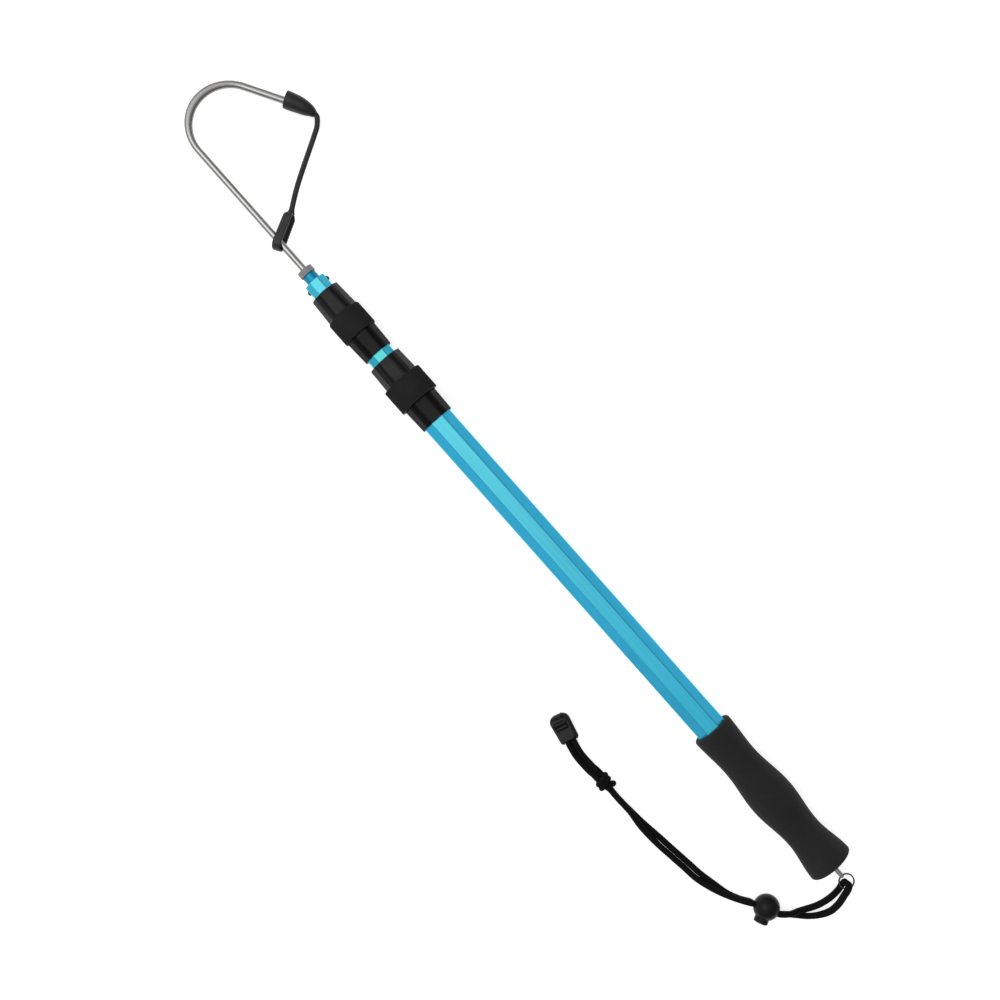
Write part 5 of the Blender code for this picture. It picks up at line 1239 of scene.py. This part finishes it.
def cap_rows():
    """The cap's centres and radii, from its mouth to its strap end, where its shape changes."""
    mouth, heading, towards_shank = cap_frame()
    rows = []
    for along, share, across in CAP_SECTIONS:
        centre = mouth + heading * CAP_LENGTH * along + towards_shank * (CAP_RADIUS * across - CAP_OFFSET)
        rows.append((*centre, share * CAP_RADIUS))
    return rows


LEAN = min(asin((GRIP_RADII[0] - radius) / -y) for x, y, z, radius in cap_rows())
HOOK_PLANE = POLE @ spin("X", LEAN)


def make_hook():
    path = [(SHANK_START + share * SHANK_LENGTH, 0.0, 0.0) for share in np.linspace(0.0, 1.0, 12)]
    factors = [1.0] * 12
    for share in np.linspace(0.0, 1.0, 91)[1:]:
        angle = BEND_ANGLE * share
        x = BEND_START + BEND_RADIUS * sin(angle)
        path.append((x, -BEND_RADIUS * (1 - cos(angle)), 0.0))
        factors.append(1.0 + POINT_SWELL * share + BEND_SWELL * sin(pi * share) ** 2)
    for share in np.linspace(0.0, 1.0, 33):
        distance = POINT_LENGTH - POINT_TAPER * (1 - share)
        path.append(tuple(hook_point(distance)[0]))
        thinned = (1.0 + POINT_SWELL - POINT_TIP_RADIUS / WIRE_RADIUS) * share**POINT_CURVE
        factors.append(1.0 + POINT_SWELL - thinned)
    # Where the wire is forged wider it is no thicker
    wire = 2 * WIRE_RADIUS
    sections = [squarish(wire * min(factor, 1.0), wire * factor, 2.0, 48) for factor in factors]
    rings = sweep(path, sections, side=UP)
    dress(solid("hook_wire", loft(rings), HOOK_PLANE), STAINLESS, "tip_section", "stainless", "hook")


def make_cap():
    mouth, heading, _ = cap_frame()
    rows = smooth_route(cap_rows(), 0.0006)
    path, radii = rows[:, :3], rows[:, 3]
    end = path[-1] + unit(path[-1] - path[-2]) * 0.0006
    bore = WIRE_RADIUS * (1.0 + POINT_SWELL) + 0.0003
    lip = 0.0007
    depths = ((CAP_COVER + 0.0004, bore), (0.0006, bore), (0.0, bore + 0.0006))
    inside = [(mouth + heading * depth, radius) for depth, radius in depths]
    rim = [
        (path[0] + heading * lip * (1 - cos(a)), CAP_RADIUS - lip * (1 - sin(a)))
        for a in np.radians((0.0, 18.0, 36.0, 54.0, 72.0, 90.0))
    ]
    centres, sizes = zip(*inside, *rim, *zip(path[2:], radii[2:]), (end, radii[-1] * 0.8))
    angles = round_angles(64)
    rings = []
    directions = np.gradient(path, axis=0)
    for i, (centre, size) in enumerate(zip(centres, sizes)):
        nearest = np.argmin(np.linalg.norm(path - centre, axis=1))
        along = unit(heading if i < len(inside) + len(rim) else directions[nearest])
        across = np.array((along[1], -along[0], 0.0))
        rings.append(centre + size * np.cos(angles)[:, None] * across + size * np.sin(angles)[:, None] * UP)
    cap = solid("point_cap", loft(rings), HOOK_PLANE, 60.0)
    dress(cap, RUBBER, "guard_cap", "rubber", "guard_cap")
    return path


def make_eyelet():
    """The long loop round the shank. It returns the middle of its strap end."""
    big = EYELET_HOLE_HEIGHT / 2 + EYELET_WALL
    small = EYELET_STRAP_END_RADIUS
    centres = EYELET_LENGTH - big - small
    slope = acos((big - small) / centres)
    middle = EYELET_WALL / 2

    def arc(centre, radius, angles):
        return np.stack([centre + radius * np.cos(angles), radius * np.sin(angles), 0 * angles], -1)

    path = arc(0.0, big - middle, np.linspace(slope, 2 * pi - slope, 41))
    small_end = arc(centres, small - middle, np.linspace(-slope, slope, 25))
    shares = np.linspace(0.0, 1.0, 13)[1:-1, None]
    out = path[-1] + (small_end[0] - path[-1]) * shares
    back = small_end[-1] + (path[0] - small_end[-1]) * shares
    path = np.vstack([path, out, small_end, back])
    # The band narrows to the strap's width in rounded shoulders
    reach = (path[:, 0] - (centres + small - middle - EYELET_SHOULDER)) / EYELET_SHOULDER
    widths = EYELET_WIDTH * (1.0 - 0.36 * np.clip(reach, 0.0, 1.0) ** 2)
    section = np.array([squarish(width, EYELET_WALL, 5.0) for width in widths])
    rings = sweep(path, section, side=UP, closed=True)
    long_way = radians(-90.0) + EYELET_LEAN
    place = shift(SHANK_START + EYELET_ALONG_SHANK) @ spin("Z", long_way) @ spin("X", QUARTER + EYELET_ROLL)
    place = place @ shift(big - EYELET_BELOW_SHANK)
    eyelet = solid("shank_eyelet", loft(rings, True), HOOK_PLANE @ place)
    dress(eyelet, RUBBER, "tip_section", "rubber", "guard_eyelet")
    return np.array(place @ Vector((centres + small, 0.0, 0.0)))


def make_guard():
    cap_path = make_cap()
    eyelet_top = make_eyelet()
    _, heading, towards_shank = cap_frame()
    cap_end = cap_path[-1]
    leaving = unit(cap_end - cap_path[-2])
    down = unit(eyelet_top - cap_end)
    route = [
        cap_end - leaving * 0.0008, cap_end + leaving * (GAP + STRAP_LEAVING),
        *(cap_end + heading * along + towards_shank * across for along, across in STRAP_TURN),
        eyelet_top - down * STRAP_STRAIGHT_END, eyelet_top + down * 0.0010
    ]
    path = smooth_route(route, 0.0008)
    along = lengths_along(path)
    from_cap = np.clip(1 - along / 0.0035, 0.0, 1.0) ** 2
    from_eyelet = np.clip(1 - (along[-1] - along) / 0.0050, 0.0, 1.0) ** 2
    base = squarish(1.0, 1.0, 2.8)
    width = STRAP_WIDTH * (1 + 0.35 * from_cap + 0.45 * from_eyelet)
    thick = STRAP_THICKNESS * (1 + 0.9 * from_cap + 0.35 * from_eyelet)
    section = base[None] * np.stack([thick, width], -1)[:, None, :]
    strap = solid("guard_band", loft(sweep(path, section, side=UP)), HOOK_PLANE)
    dress(strap, RUBBER, None, "rubber", "guard_strap")
    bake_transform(strap)


def finish_kept_nodes():
    """Gives the CAD nodes that stay their own materials."""
    nylon = ("lower_lock_collet", "upper_lock_collet", "middle_guide", "tip_guide")
    for name, finish in (*((name, NYLON) for name in nylon), ("pin_nut", STEEL), ("butt_plug", PLASTIC)):
        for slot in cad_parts[name].material_slots:
            slot.material = finish


make_camera()
make_lanyard()
make_studio()
make_grip()
make_tubes()
make_locks()
make_butt()
make_hook_seat()
make_hook()
make_guard()
finish_kept_nodes()
